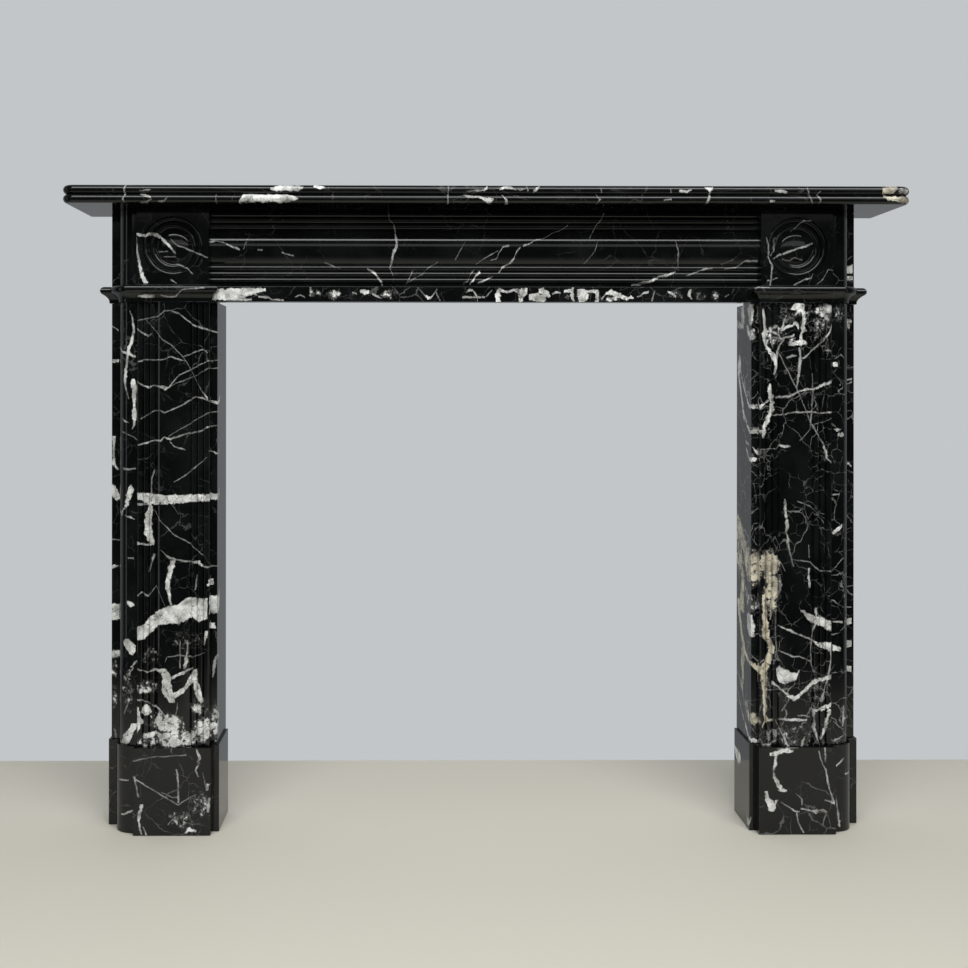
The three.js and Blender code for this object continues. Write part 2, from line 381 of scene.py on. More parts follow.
def crack_group():
    """A network of angular hairline veins, of which only a share shows. The width is in metres."""
    tree, g, source, give = new_group(
        "Crack veins",
        [("Vector", VECTOR, None), ("Scale", VALUE, 14.0), ("Width", VALUE, 0.0008), ("Cover", VALUE, 0.4)],
        [("Mask", VALUE)])
    cells = g.add("ShaderNodeTexVoronoi", {"Vector": source["Vector"], "Scale": source["Scale"]},
                  feature="DISTANCE_TO_EDGE")
    away = g.maths("DIVIDE", cells.outputs["Distance"], source["Scale"])
    swells_per_cell, clouds_per_cell = 3.1, 0.5
    thinnest, thickest = 0.25, 2.0
    core, rim = 0.4, 1.1
    soft = 0.08
    swell = g.noise(source["Vector"], g.maths("MULTIPLY", source["Scale"], swells_per_cell))
    width = g.maths("MULTIPLY", source["Width"], g.fade(swell, 0.32, 0.74, thinnest, thickest))
    line = g.fade(g.maths("DIVIDE", away, width), core, rim, 1.0, 0.0)
    spread = g.noise(source["Vector"], g.maths("MULTIPLY", source["Scale"], clouds_per_cell))
    threshold = g.maths("SUBTRACT", 1.0, source["Cover"])
    shown = g.fade(spread, g.maths("SUBTRACT", threshold, soft), g.maths("ADD", threshold, soft))
    give("Mask", g.maths("MULTIPLY", line, shown))
    return tree


def drawn_group():
    """One vein with a frayed rim: a path across, and a width, for each place along it."""
    tree, g, source, give = new_group(
        "Drawn vein",
        [("Rough", VALUE, 0.0), ("Across", VALUE, 0.0), ("Path", VALUE, 0.0), ("Width", VALUE, 0.003),
         ("Along", VALUE, 0.0), ("First", VALUE, 0.0), ("Last", VALUE, 1.0)],
        [("Mask", VALUE)])
    fray_share, deepest_fray = 2.0, 0.013
    soft_in, soft_out = 0.0006, 0.0007
    hairline, broad, hairline_white = 0.001, 0.0065, 0.24
    off = g.maths("ABSOLUTE", g.maths("SUBTRACT", source["Across"], source["Path"]))
    depth = g.maths("MINIMUM", g.maths("MULTIPLY", source["Width"], fray_share), deepest_fray)
    half = g.maths("MULTIPLY_ADD", source["Width"], 0.5, g.maths("MULTIPLY", source["Rough"], depth))
    line = g.fade(g.maths("SUBTRACT", off, half), -soft_in, soft_out, 1.0, 0.0)
    body = g.fade(source["Width"], hairline, broad, hairline_white, 1.0)
    inside = g.maths("MULTIPLY", g.maths("GREATER_THAN", source["Along"], source["First"]),
                     g.maths("LESS_THAN", source["Along"], source["Last"]))
    give("Mask", g.maths("MULTIPLY", g.maths("MULTIPLY", line, body), inside))
    return tree


def patch_group():
    """A mottled white mass round a centre, broken by black islands, with a thin flecked veil about it."""
    tree, g, source, give = new_group(
        "White patch",
        [("Vector", VECTOR, None), ("Grain", VALUE, 0.5), ("Fleck", VALUE, 0.5),
         ("Centre", VECTOR, (0, 0, 0)), ("Reach", VECTOR, (0.03, 0.1, 0.03)), ("Fill", VALUE, 0.5)],
        [("Mask", VALUE)])
    full, gone = 0.35, 1.15
    highest, lowering = 0.76, 0.4
    core_soft, veil_soft, veil_white = 0.1, 0.12, 0.26
    away = g.vector("DIVIDE", g.vector("SUBTRACT", source["Vector"], source["Centre"]), source["Reach"])
    falloff = g.fade(g.vector("LENGTH", away), full, gone, 1.0, 0.0)
    filled = g.maths("MULTIPLY", falloff, g.maths("MULTIPLY", source["Fill"], lowering))
    threshold = g.maths("SUBTRACT", highest, filled)
    core = g.fade(source["Grain"], threshold, g.maths("ADD", threshold, core_soft))
    veil = g.fade(source["Grain"], g.maths("SUBTRACT", threshold, veil_soft), threshold, 0.0, veil_white)
    flecked = g.maths("MULTIPLY", veil, g.fade(source["Fleck"], 0.4, 0.64))
    give("Mask", g.maths("MAXIMUM", core, g.maths("MULTIPLY", flecked, falloff)))
    return tree


def ground_group():
    """The black of the stone, with dark grey clouds and fine flecks."""
    tree, g, source, give = new_group(
        "Stone ground",
        [("Vector", VECTOR, None), ("Ground", COLOUR, None), ("Haze", COLOUR, None)],
        [("Color", COLOUR)])
    cloud_scale, cloud_share = 9.0, 0.75
    fleck_scale, fleck_share = 420.0, 0.35
    cloud = g.fade(g.noise(source["Vector"], cloud_scale, 5.0, 0.6), 0.42, 0.72, 0.0, cloud_share)
    fleck = g.fade(g.noise(source["Vector"], fleck_scale), 0.62, 0.75, 0.0, fleck_share)
    give("Color", g.blend(g.maths("ADD", cloud, fleck, clamp=True), source["Ground"], source["Haze"]))
    return tree


def vein_colour_group():
    """The veins' white, which turns to the stain in cloudy places and to cream by the warmth."""
    tree, g, source, give = new_group(
        "Vein colour",
        [("Vector", VECTOR, None), ("Vein", COLOUR, None), ("Stain", COLOUR, None), ("Warmth", VALUE, 0.0)],
        [("Color", COLOUR)])
    cloud_scale, cloud_share = 45.0, 0.75
    fine_scale, fine_share = 240.0, 0.45
    neutral, cream = (1.0, 1.0, 1.0, 1.0), (0.84, 0.77, 0.62, 1.0)
    cloud = g.fade(g.noise(source["Vector"], cloud_scale, 4.0, 0.6), 0.44, 0.66, 0.0, cloud_share)
    fine = g.fade(g.noise(source["Vector"], fine_scale, 3.0, 0.6), 0.52, 0.7, 0.0, fine_share)
    mixed = g.blend(g.maths("ADD", cloud, fine, clamp=True), source["Vein"], source["Stain"])
    tint = g.blend(source["Warmth"], neutral, cream)
    give("Color", g.blend(1.0, mixed, tint, "MULTIPLY"))
    return tree


GROUPS = {}
BUILDERS = {
    "warp": warp_group, "crack": crack_group, "drawn": drawn_group, "patch": patch_group,
    "ground": ground_group, "colour": vein_colour_group,
}


def shader_group(name):
    """The shared group of this name, built when it is first asked for."""
    if name not in GROUPS:
        GROUPS[name] = BUILDERS[name]()
    return GROUPS[name]


# Veins, in millimetres of the frame. A rising vein's points are (z, x, width) and a level vein's are
# (x, z, width). A patch is a mottled mass: x, z, its reach each way, and how far white fills it.
# White is the strength of the whole, and cream, which is 0 or 1, makes it warm.

def rising(*points, white=1.0, cream=0):
    return {"kind": "path", "along": "Z", "points": points, "white": white, "cream": cream}


def level(*points, white=1.0, cream=0):
    return {"kind": "path", "along": "X", "points": points, "white": white, "cream": cream}


def patch(x, z, reach_x, reach_z, fill, white=1.0, cream=0):
    return {"kind": "patch", "centre": (x, z), "reach": (reach_x, reach_z), "fill": fill, "white": white,
            "cream": cream}


VEINS = {
    "left_jamb": (
        level((-678, 997, 1.6), (-637, 1005, 2.1), (-623, 1016, 2.3), (-610, 1016, 2.1),
            (-594, 1011, 2.1), (-579, 997, 2.9), (-569, 989, 2.5), (-546, 981, 3.1), (-520, 974, 1.8)),
        level((-660, 999, 1.4), (-627, 960, 1.9), (-610, 950, 1.9), (-594, 935, 2.1), (-582, 919, 2.1),
            (-567, 892, 1.9), (-559, 874, 2.1), (-549, 857, 2.5), (-540, 845, 4.9)),
        level((-680, 985, 3.9), (-672, 978, 2.5), (-662, 970, 3.5), (-655, 968, 3.9), (-647, 972, 1.6)),
        level((-686, 913, 2.3), (-664, 921, 2.9), (-625, 921, 2.5), (-610, 927, 2.9), (-594, 921, 2.3),
            (-582, 919, 1.6)),
        level((-680, 880, 1.8), (-664, 871, 3.1), (-655, 867, 4.3), (-643, 871, 2.3), (-621, 866, 7),
            (-614, 867, 4.3), (-596, 890, 2.3), (-540, 919, 1.9), (-520, 921, 1.9)),
        level((-614, 869, 1.8), (-559, 892, 1.8), (-540, 904, 1.9), (-520, 906, 1.9)),
        level((-586, 927, 1.9), (-563, 937, 2.3), (-547, 941, 2.3), (-540, 935, 2.1)),
        level((-670, 806, 1.8), (-643, 822, 1.9), (-631, 822, 1.9), (-621, 818, 2.3), (-594, 830, 2.5),
            (-563, 849, 1.8), (-549, 847, 3.7), (-538, 841, 1.9), (-518, 837, 8.8)),
        level((-680, 754, 1.6), (-656, 760, 3.7), (-645, 765, 1.9), (-631, 763, 2.9), (-623, 771, 2.9),
            (-612, 767, 3.5), (-582, 777, 2.5), (-551, 783, 2.3), (-540, 791, 2.7), (-518, 793, 1)),
        level((-614, 773, 1.6), (-540, 818, 1.8), (-520, 820, 1.8)),
        level((-612, 762, 2.3), (-602, 752, 2.7), (-582, 746, 2.3)),
        level((-604, 684, 2.3), (-590, 691, 2.3), (-540, 732, 1.9)),
        level((-680, 656, 11.7), (-670, 655, 15.6), (-653, 651, 20.4), (-633, 649, 17.5),
            (-584, 651, 15.6), (-540, 653, 12.6), (-518, 654, 12.6)),
        level((-688, 645, 3.9), (-678, 640, 4.3), (-653, 641, 1.9)),
        rising((561, -647, 7.8), (571, -650, 11.7), (584, -655, 15.6), (616, -655, 12.6),
            (629, -651, 11.7), (641, -651, 5.8)),
        level((-707, 563, 1.9), (-693, 555, 2.3), (-676, 564, 5.8), (-649, 561, 2.7)),
        rising((660, -649, 1.8), (688, -648, 1.9), (707, -643, 2.3)),
        level((-643, 629, 1.6), (-633, 610, 1.9), (-604, 582, 2.5), (-581, 569, 2.1), (-547, 540, 1.9)),
        level((-631, 551, 1.2), (-614, 538, 3.9), (-586, 530, 3.1), (-571, 528, 1.9), (-555, 527, 7),
            (-547, 518, 3.5), (-520, 518, 1.2)),
        rising((442, -608, 3.1), (479, -616, 7.8), (493, -615, 8.4), (520, -608, 8.8), (532, -606, 9.7)),
        rising((509, -653, 2.3), (544, -643, 3.1)),
        level((-678, 460, 2.3), (-668, 470, 2.3), (-655, 462, 2.9), (-639, 481, 1.9), (-621, 442, 1.9)),
        rising((474, -564, 2.1), (503, -560, 2.1)),
        level((-678, 388, 23.4), (-664, 392, 27.2), (-653, 404, 33.1), (-633, 421, 29.2),
            (-614, 426, 33.1), (-594, 428, 38.9), (-579, 438, 42.8), (-569, 441, 37), (-559, 434, 44.8),
            (-540, 438, 38.9)),
        level((-537, 442, 33.1), (-518, 443, 33.1)),
        rising((256, -607, 9.7), (267, -612, 17.5), (279, -616, 21.4), (294, -618, 17.5),
            (308, -619, 17.5), (322, -623, 7.8)),
        level((-610, 265, 13.6), (-586, 279, 9.7), (-575, 296, 17.5), (-567, 306, 21.4),
            (-561, 314, 13.6)),
        level((-614, 302, 4.9), (-586, 314, 4.9), (-567, 322, 2.9)),
        rising((254, -551, 7.8), (265, -555, 11.7), (298, -564, 9.7), (314, -565, 9.7)),
        rising((322, -592, 2.3), (376, -592, 1.9)),
        rising((320, -584, 2.9), (337, -581, 6.2), (353, -579, 2.5), (376, -579, 1.9)),
        level((-621, 335, 1.9), (-616, 345, 2.1), (-594, 348, 2.5), (-569, 343, 1.9), (-546, 351, 1.9)),
        rising((366, -547, 1.6), (382, -543, 4.3), (394, -541, 5.1)),
        level((-678, 320, 2.1), (-656, 314, 2.7), (-643, 318, 3.9), (-625, 318, 7.8)),
        rising((168, -697, 15.6), (178, -695, 23.4), (191, -688, 17.5), (205, -678, 15.6),
            (217, -672, 13.6), (230, -674, 7.8), (246, -676, 8.8)),
        rising((230, -658, 7.8), (238, -658, 19.5), (244, -658, 15.6), (252, -658, 2.9)),
        level((-666, 189, 7.8), (-653, 191, 10.7), (-641, 195, 7.8), (-627, 189, 10.7), (-610, 195, 8.8),
            (-598, 205, 11.7)),
        patch(-618, 217, 44, 27, 0.95),
        patch(-594, 184, 64, 27, 0.86),
        patch(-648, 177, 40, 20, 0.75),
        patch(-548, 200, 24, 40, 0.92),
        level((-677, 260, 3.5), (-662, 258, 3), (-650, 253, 2)),
        level((-647, 251, 2.5), (-635, 243, 4.5), (-622, 232, 2)),
        rising((228, -601, 1.4), (245, -597, 2), (257, -597, 1.2)),
        patch(-555, 248, 26, 24, 0.75),
        patch(-660, 285, 34, 20, 0.74),
        patch(-652, 347, 28, 32, 0.42),
        patch(-584, 376, 46, 28, 0.4),
        level((-538, 744, 1.9), (-528, 740, 3.5), (-516, 736, 2.7)),
        rising((481, -535, 7.8), (493, -536, 7.8)),
        rising((300, -532, 2.3), (333, -528, 5.8), (345, -522, 2.7)),
        patch(-528, 213, 11, 54, 0.85),
        rising((396, -532, 7.8), (407, -532, 6.8)),
    ),
    "left_post": (
        rising((845, -695, 1.6), (871, -703, 3.1), (892, -703, 6.6), (921, -699, 3.9), (945, -695, 6.6),
            (960, -688, 5.9), (980, -685, 3.9), (1003, -688, 2.9), (1017, -693, 1.4)),
        level((-713, 939, 3.9), (-693, 931, 4.3), (-681, 927, 3.1)),
        rising((785, -689, 2), (796, -684, 4.7), (822, -684, 7.8), (837, -684, 4.9), (863, -684, 10.7),
            (874, -686, 10.7), (884, -685, 5.9)),
        level((-709, 806, 2.3), (-699, 799, 3.9), (-695, 798, 1.6)),
        level((-711, 781, 2), (-685, 771, 2.3), (-674, 761, 1.6)),
        level((-709, 708, 3.9), (-691, 708, 3.5), (-681, 710, 2.3)),
        rising((617, -712, 3.9), (628, -708, 3.9), (638, -699, 5.9), (658, -694, 11.7), (668, -690, 11.7),
            (677, -691, 2.9)),
        level((-703, 617, 2), (-691, 613, 3.5), (-683, 610, 2)),
        level((-697, 534, 2.3), (-685, 534, 2.7)),
        level((-699, 447, 3.9), (-691, 445, 9.8), (-683, 443, 3.9)),
        level((-707, 369, 5.9), (-701, 367, 17.6), (-695, 363, 25.4), (-687, 357, 23.4),
            (-681, 359, 9.8)),
        rising((295, -701, 2.3), (310, -693, 3.5), (322, -685, 2.9)),
        rising((322, -689, 4.3), (332, -681, 5.9), (338, -672, 3.9)),
        rising((166, -706, 13), (182, -700, 19), (198, -690, 16), (212, -681, 12)),
        rising((228, -705, 2), (245, -699, 2.4), (258, -693, 1.5)),
        patch(-697, 277, 18, 60, 0.62),
    ),
    "left_slip": (
        level((-740, 990, 3), (-726, 980, 3)),
        level((-740, 920, 5.2), (-726, 920, 4.4)),
        rising((703, -728, 3.2), (715, -736, 6), (737, -736, 3), (759, -735, 6), (771, -736, 6)),
        level((-740, 663, 23.9), (-732, 657, 25.9), (-724, 650, 8)),
        level((-740, 566, 2.6), (-724, 564, 2)),
        level((-740, 510, 6), (-726, 512, 3.2)),
        level((-740, 421, 31.9), (-724, 422, 31.9)),
        level((-740, 337, 13.9), (-724, 339, 11.9)),
        patch(-734, 309, 12, 34, 0.6),
        patch(-734, 251, 12, 30, 0.6),
        rising((156, -730, 2), (180, -732, 4), (189, -734, 2)),
    ),
    "right_jamb": (
        rising((991, 523, 3.9), (1001, 523, 8.8), (1015, 523, 11.7), (1032, 521, 9.7)),
        patch(525, 972, 14, 16, 0.95),
        level((517, 832, 7.8), (529, 830, 7.8), (538, 832, 6.6), (546, 837, 4.7), (558, 849, 3.9)),
        level((517, 781, 7), (531, 781, 7), (544, 783, 5.8)),
        level((517, 788, 2.3), (536, 788, 2.3)),
        level((525, 752, 2.9), (536, 738, 7.8)),
        level((517, 726, 5.8), (529, 726, 9.7), (535, 728, 3.9)),
        patch(529, 514, 20, 50, 1.0, cream=1),
        rising((378, 525, 8.8), (400, 525, 11.7), (421, 523, 4.9)),
        patch(529, 444, 16, 28, 0.7),
        level((521, 328, 5.8), (531, 320, 11.7), (540, 312, 9.7), cream=1),
        patch(529, 217, 14, 21, 0.9, cream=1),
        level((519, 176, 7.8), (536, 174, 7.8)),
        rising((892, 564, 1.9), (915, 568, 4.9), (925, 564, 9.7), (937, 556, 8.8), (950, 548, 5.8),
            (974, 546, 11.7), (989, 546, 5.8), (1022, 541, 2.9)),
        rising((925, 568, 5.8), (941, 571, 4.3), (950, 575, 3.9), (964, 583, 1.9)),
        level((542, 974, 9.7), (554, 978, 3.9), (573, 972, 3.9), (579, 962, 3.5)),
        level((546, 968, 2.9), (579, 964, 2.3), (601, 970, 4.3)),
        rising((978, 578, 3.9), (1009, 586, 2.9)),
        level((579, 979, 3.5), (585, 984, 5.1), (603, 993, 5.8), (610, 987, 9.7)),
        rising((956, 612, 5.8), (972, 614, 3.9), (978, 619, 8.8), (1007, 620, 5.8), (1016, 618, 9.7),
            (1020, 608, 25.3), (1032, 612, 19.5)),
        patch(663, 1018, 26, 22, 0.95),
        patch(612, 1009, 66, 34, 0.54),
        patch(566, 970, 30, 30, 0.68),
        patch(655, 992, 32, 44, 0.54),
        patch(597, 956, 14, 14, 0.66),
        level((587, 926, 2.5), (596, 930, 4), (606, 930, 2.5)),
        level((663, 941, 3), (676, 939, 3)),
        patch(610, 190, 62, 32, 0.46),
        patch(642, 279, 34, 42, 0.4),
        level((589, 950, 1.9), (610, 956, 10.7), (620, 956, 8.8), (628, 954, 1.9)),
        rising((867, 605, 1.9), (888, 609, 3.9), (923, 613, 4.7), (946, 610, 2.5)),
        level((616, 925, 2.9), (626, 930, 3.5), (651, 953, 3.1), (659, 958, 2.9), (667, 968, 4.3),
            (673, 979, 5.8), (678, 993, 5.8)),
        level((566, 849, 3.1), (593, 851, 3.9), (610, 861, 2.9), (628, 865, 5.1), (642, 865, 3.7),
            (661, 874, 6.2), (679, 880, 4.7)),
        rising((802, 634, 1.6), (861, 608, 1.9), (896, 591, 1.8), (937, 573, 1.6)),
        level((558, 814, 2.9), (585, 816, 2.7), (589, 819, 2.5), (636, 821, 2.9), (651, 818, 2.7),
            (679, 820, 3.1)),
        rising((769, 542, 3.1), (791, 546, 8.6), (802, 550, 7.8), (824, 559, 8.6), (839, 560, 7.8),
            (849, 557, 9.7), (863, 556, 8.2), (876, 556, 3.9)),
        rising((765, 612, 1.8), (787, 634, 1.9), (802, 636, 3.1), (832, 639, 1.9), (863, 641, 2.1),
            (896, 639, 1.6)),
        rising((721, 677, 2.7), (730, 667, 3.9), (742, 665, 5.8), (760, 659, 2.5), (783, 645, 2.3),
            (797, 638, 4.3)),
        level((535, 747, 1.8), (568, 749, 1.8), (575, 756, 3.1), (583, 753, 5.1), (595, 754, 1.4)),
        level((642, 797, 1.6), (659, 800, 1.6), (679, 810, 1.6)),
        rising((520, 600, 1.8), (555, 591, 2.7), (571, 590, 3.7), (586, 586, 1.9), (596, 589, 4.9),
            (633, 585, 4.3), (651, 584, 2.3)),
        level((607, 647, 1.6), (634, 637, 1.8), (643, 629, 1.8), (661, 604, 1.8)),
        rising((477, 634, 3.9), (503, 631, 4.7), (516, 632, 3.9)),
        rising((536, 632, 1.8), (561, 631, 1.8)),
        level((595, 534, 1.8), (634, 528, 1.8), (645, 518, 2.7), (653, 511, 2.3), (679, 510, 2.5)),
        patch(554, 522, 31, 38, 1.0, cream=1),
        patch(560, 470, 24, 62, 0.85, cream=1),
        rising((221, 550, 9.7), (232, 546, 5.8), (275, 546, 7.8), (308, 544, 11.7), (322, 544, 17.5),
            (333, 552, 13.6), (357, 559, 10.7), (370, 556, 11.7), (382, 548, 13.6), (405, 547, 12.6),
            (425, 546, 8.8), (464, 545, 8.8), cream=1),
        rising((415, 556, 2.7), (438, 560, 6.2), (454, 562, 4.9), cream=1),
        rising((328, 564, 2.7), (357, 569, 2.9), (396, 566, 2.7), (450, 568, 2.7), (474, 577, 3.9),
            (503, 575, 3.9), white=0.45),
        level((564, 534, 1.9), (571, 534, 2.9), (579, 524, 2.9), (585, 510, 2.5)),
        level((614, 433, 3.9), (620, 431, 7.8), (628, 423, 11.7), (638, 417, 15.6), (657, 411, 19.5),
            (669, 404, 17.5), (679, 402, 17.5)),
        level((571, 405, 1.6), (581, 400, 3.9), (638, 376, 3.1), (647, 368, 5.8), (667, 363, 13.6),
            (679, 361, 15.6)),
        rising((312, 643, 3.1), (331, 637, 2.3), (361, 636, 2.5), (390, 640, 2.9), (419, 647, 3.9),
            (438, 646, 3.9)),
        level((573, 355, 1.8), (597, 345, 2.9), (612, 345, 2.5), (638, 333, 1.9)),
        level((568, 314, 7.8), (575, 308, 33.1), (585, 304, 27.2), (605, 306, 11.7), (612, 318, 2.9)),
        level((560, 291, 7.8), (570, 285, 4.9), (593, 267, 5.8), (603, 263, 8.8), (624, 279, 8.6),
            (647, 296, 6.8), (679, 304, 7)),
        rising((256, 658, 1.9), (265, 659, 3.9), (279, 663, 2.9), (304, 670, 2.9), (337, 676, 3.5),
            (359, 677, 5.8)),
        rising((236, 579, 1.9), (265, 594, 2.5)),
        level((570, 220, 1.9), (585, 221, 3.9), (603, 222, 4.9), (628, 221, 3.1)),
        level((608, 230, 1.9), (620, 230, 2.9), (634, 226, 1.9)),
        level((636, 242, 1.9), (645, 238, 5.8), (671, 246, 7.8), (679, 253, 5.1)),
        rising((180, 655, 1.9), (197, 661, 5.8), (224, 669, 5.8), (240, 673, 7.8)),
        rising((168, 655, 1.9), (182, 649, 2.5), (205, 642, 5.1), (221, 643, 1.9), (238, 642, 5.8)),
        rising((166, 591, 6.6), (191, 581, 2.7), (221, 566, 1.9)),
        rising((168, 615, 4.7), (180, 619, 4.9), (189, 623, 2.7)),
        level((542, 170, 5.8), (554, 172, 4.7), (568, 180, 2.3)),
        level((540, 205, 3.9), (546, 217, 7.8), (554, 220, 5.8), (562, 219, 3.1), cream=1),
    ),
    "right_post": (
        patch(693, 1017, 15, 28, 0.62),
        level((681, 915, 7.8), (691, 914, 7.8)),
        level((683, 787, 2.3), (689, 785, 5.9), (699, 787, 2.9)),
        level((691, 776, 5.9), (701, 775, 7.8), (706, 775, 3.9)),
        level((685, 925, 1.8), (697, 933, 2.9), (706, 927, 2.3)),
        level((681, 584, 5.9), (689, 589, 6.6), (701, 597, 5.9)),
        level((681, 658, 2.7), (695, 660, 2.3)),
        level((681, 511, 2), (697, 529, 2.1), (704, 533, 2)),
        level((681, 410, 2.3), (702, 408, 3.9)),
        level((681, 359, 13.7), (699, 355, 5.9)),
        rising((203, 704, 2.9), (219, 705, 5.1), (244, 706, 2.9)),
        level((683, 215, 2), (695, 203, 2), (706, 197, 2)),
        level((683, 178, 3.9), (706, 185, 2.7)),
    ),
    "right_slip": (
        level((723, 1004, 6), (735, 1000, 4.8)),
        level((723, 884, 3.2), (735, 885, 3.2)),
        level((723, 875, 2.8), (735, 879, 2.8)),
        level((723, 821, 2.4), (735, 823, 2)),
        level((723, 717, 3.2), (729, 717, 4), (735, 711, 2.4)),
        level((723, 399, 11.9), (735, 403, 11.9)),
        level((723, 357, 13.9), (735, 357, 13.9)),
        level((723, 307, 9.2), (735, 307, 10)),
        level((723, 430, 2.4), (735, 430, 2.4)),
        patch(729, 995, 9, 14, 0.7),
        level((724, 1102, 11), (730, 1104, 17), (737, 1105, 18)),
        level((723, 1085, 6), (730, 1087, 10), (737, 1087, 9)),
        level((722, 1119, 2.2), (728, 1125, 2.2), (736, 1130, 1.6)),
    ),
    "lintel": (
        level((-531, 1040, 3.9), (-518, 1048, 21.4), (-477, 1048, 23.3), (-462, 1053, 13.6),
            (-427, 1057, 5.8)),
        level((-481, 1038, 4.9), (-454, 1038, 2.9)),
        level((-442, 1044, 3.1), (-421, 1042, 3.9), (-415, 1038, 3.1), (-392, 1037, 3.1)),
        level((-456, 1051, 3.9), (-444, 1047, 2.7)),
        level((-370, 1043, 1.9), (-360, 1047, 2.3), (-351, 1042, 2.1)),
        rising((1045, -341, 2.5), (1063, -340, 2.9)),
        patch(-333, 1051, 18, 12, 0.55),
        patch(-294, 1049, 18, 14, 0.82),
        level((-259, 1052, 2.3), (-250, 1049, 1.9)),
        level((-244, 1055, 4.9), (-236, 1053, 8.9), (-226, 1053, 5.1)),
        level((-220, 1049, 3.1), (-209, 1044, 3.1), (-201, 1040, 1.6)),
        patch(-186, 1049, 26, 14, 0.62),
        level((-133, 1063, 1.6), (-119, 1047, 2.3), (-112, 1043, 6.6), (-106, 1042, 5.1),
            (-102, 1047, 2.7), (-94, 1059, 2.3)),
        rising((1036, -88, 2.3), (1055, -97, 1.9)),
        level((-38, 1053, 3.9), (-32, 1057, 3.9), (-24, 1057, 3.9), (-16, 1044, 4.7), (-15, 1034, 2.9)),
        level((-45, 1043, 3.1), (-1, 1044, 3.1)),
        level((1, 1044, 2.3), (13, 1057, 2.3)),
        rising((1034, 24, 8.9), (1047, 24, 8.9), (1055, 24, 5.8), (1061, 28, 3.9)),
        level((28, 1057, 6.6), (44, 1054, 2.7), (56, 1057, 4.7), (67, 1055, 9.7), (81, 1055, 11.7)),
        rising((1034, 67, 5.8), (1047, 71, 15.6), (1061, 75, 11.7)),
        level((85, 1044, 11.7), (94, 1044, 15.6), (106, 1042, 15.6), (118, 1042, 9.7)),
        level((104, 1055, 9.7), (112, 1055, 13.6), (122, 1049, 10.7), (126, 1045, 3.9)),
        level((129, 1050, 2.7), (139, 1054, 4.7), (147, 1051, 1.9)),
        level((153, 1055, 5.8), (166, 1057, 5.8)),
        patch(161, 1044, 10, 10, 0.5),
        rising((1034, 172, 3.9), (1047, 168, 5.8), (1063, 170, 3.9)),
        rising((1034, 188, 13.6), (1047, 190, 21.4), (1059, 186, 15.6)),
        rising((1034, 217, 7.8), (1047, 217, 6.6), (1059, 215, 6.8)),
        level((192, 1055, 4.7), (219, 1055, 5.1)),
        level((225, 1038, 3.1), (234, 1050, 4.7), (244, 1054, 11.7), (258, 1047, 10.9), (275, 1042, 6.6),
            (283, 1042, 3.9)),
        patch(246, 1040, 19, 7, 0.85),
        level((283, 1044, 7), (289, 1042, 4.7)),
        level((295, 1044, 1.9), (302, 1047, 2.3), (308, 1052, 3.9), (318, 1053, 3.9)),
        rising((1036, 324, 2.3), (1057, 330, 2.3)),
        level((355, 1055, 3.1), (363, 1051, 7.8), (371, 1045, 4.7)),
        rising((1040, 402, 2.7), (1049, 396, 5.1), (1059, 400, 4.7)),
        patch(372, 1048, 22, 12, 0.6, white=0.8),
        patch(418, 1047, 16, 12, 0.62, white=0.8),
        patch(450, 1046, 14, 14, 0.55, white=0.8),
        level((466, 1044, 1.6), (474, 1049, 1.9)),
    ),
    "shelf": (
        rising((1216, -686, 1.9), (1223, -688, 2.8), (1229, -684, 2.5), (1242, -685, 2.5),
            (1250, -682, 3)),
        level((-656, 1238, 1.5), (-635, 1240, 2.6)),
        level((-656, 1232, 2.3), (-635, 1227, 4.9)),
        level((-656, 1216, 1.9), (-642, 1218, 2.6), (-633, 1223, 1.9)),
        level((-622, 1218, 1.9), (-610, 1219, 3), (-603, 1226, 1.5)),
        rising((1216, -512, 1.5), (1233, -512, 1.3)),
        level((-469, 1218, 3.8), (-461, 1225, 13.2), (-437, 1225, 14.2), (-414, 1225, 13.2),
            (-391, 1224, 15.1), (-373, 1224, 12.3), (-357, 1224, 2.8)),
        level((-410, 1242, 3.8), (-399, 1243, 9.4), (-382, 1244, 11.3), (-357, 1244, 10.4),
            (-348, 1245, 3.8)),
        level((-329, 1248, 5.7), (-316, 1245, 7.5), (-307, 1245, 1.9)),
        level((-46, 1231, 2.6), (-37, 1229, 4.9), (-18, 1228, 2.6), (-8, 1223, 5.7), (5, 1221, 8.7),
            (12, 1223, 2.3)),
        rising((1214, -75, 2.6), (1248, -74, 1.9)),
        level((-39, 1238, 1.9), (-8, 1240, 3.8), (-1, 1245, 6.4)),
        level((22, 1242, 1.9), (29, 1245, 4.9), (43, 1245, 4.5), (54, 1241, 2.3)),
        rising((1214, 37, 5.7), (1223, 35, 4.5), (1231, 27, 1.9)),
        level((54, 1243, 1.9), (61, 1241, 3), (71, 1243, 1.7)),
        rising((1238, 77, 2.3), (1250, 73, 1.7)),
        level((86, 1238, 3.8), (93, 1243, 5.7), (99, 1249, 2.6)),
        rising((1236, 216, 2.3), (1244, 214, 1.5)),
        rising((1216, 207, 1.9), (1223, 213, 2.5), (1233, 205, 1.5)),
        rising((1236, 348, 1.9), (1244, 346, 1.7)),
        level((363, 1240, 4.5), (378, 1239, 5.3), (386, 1242, 1.9)),
        level((333, 1222, 1.9), (348, 1224, 3)),
        level((411, 1246, 3), (420, 1243, 6.4), (427, 1245, 7.5)),
        rising((1210, 414, 1.7), (1221, 417, 3.8), (1240, 422, 3)),
        level((544, 1240, 2.8), (554, 1239, 5.7), (567, 1238, 3)),
        level((535, 1222, 4.9), (544, 1221, 3)),
        rising((1214, 618, 1.7), (1221, 614, 2.6), (1233, 609, 2.3), (1246, 605, 3)),
        rising((1214, 628, 1.7), (1223, 631, 3), (1233, 624, 2.3), (1240, 631, 1.9)),
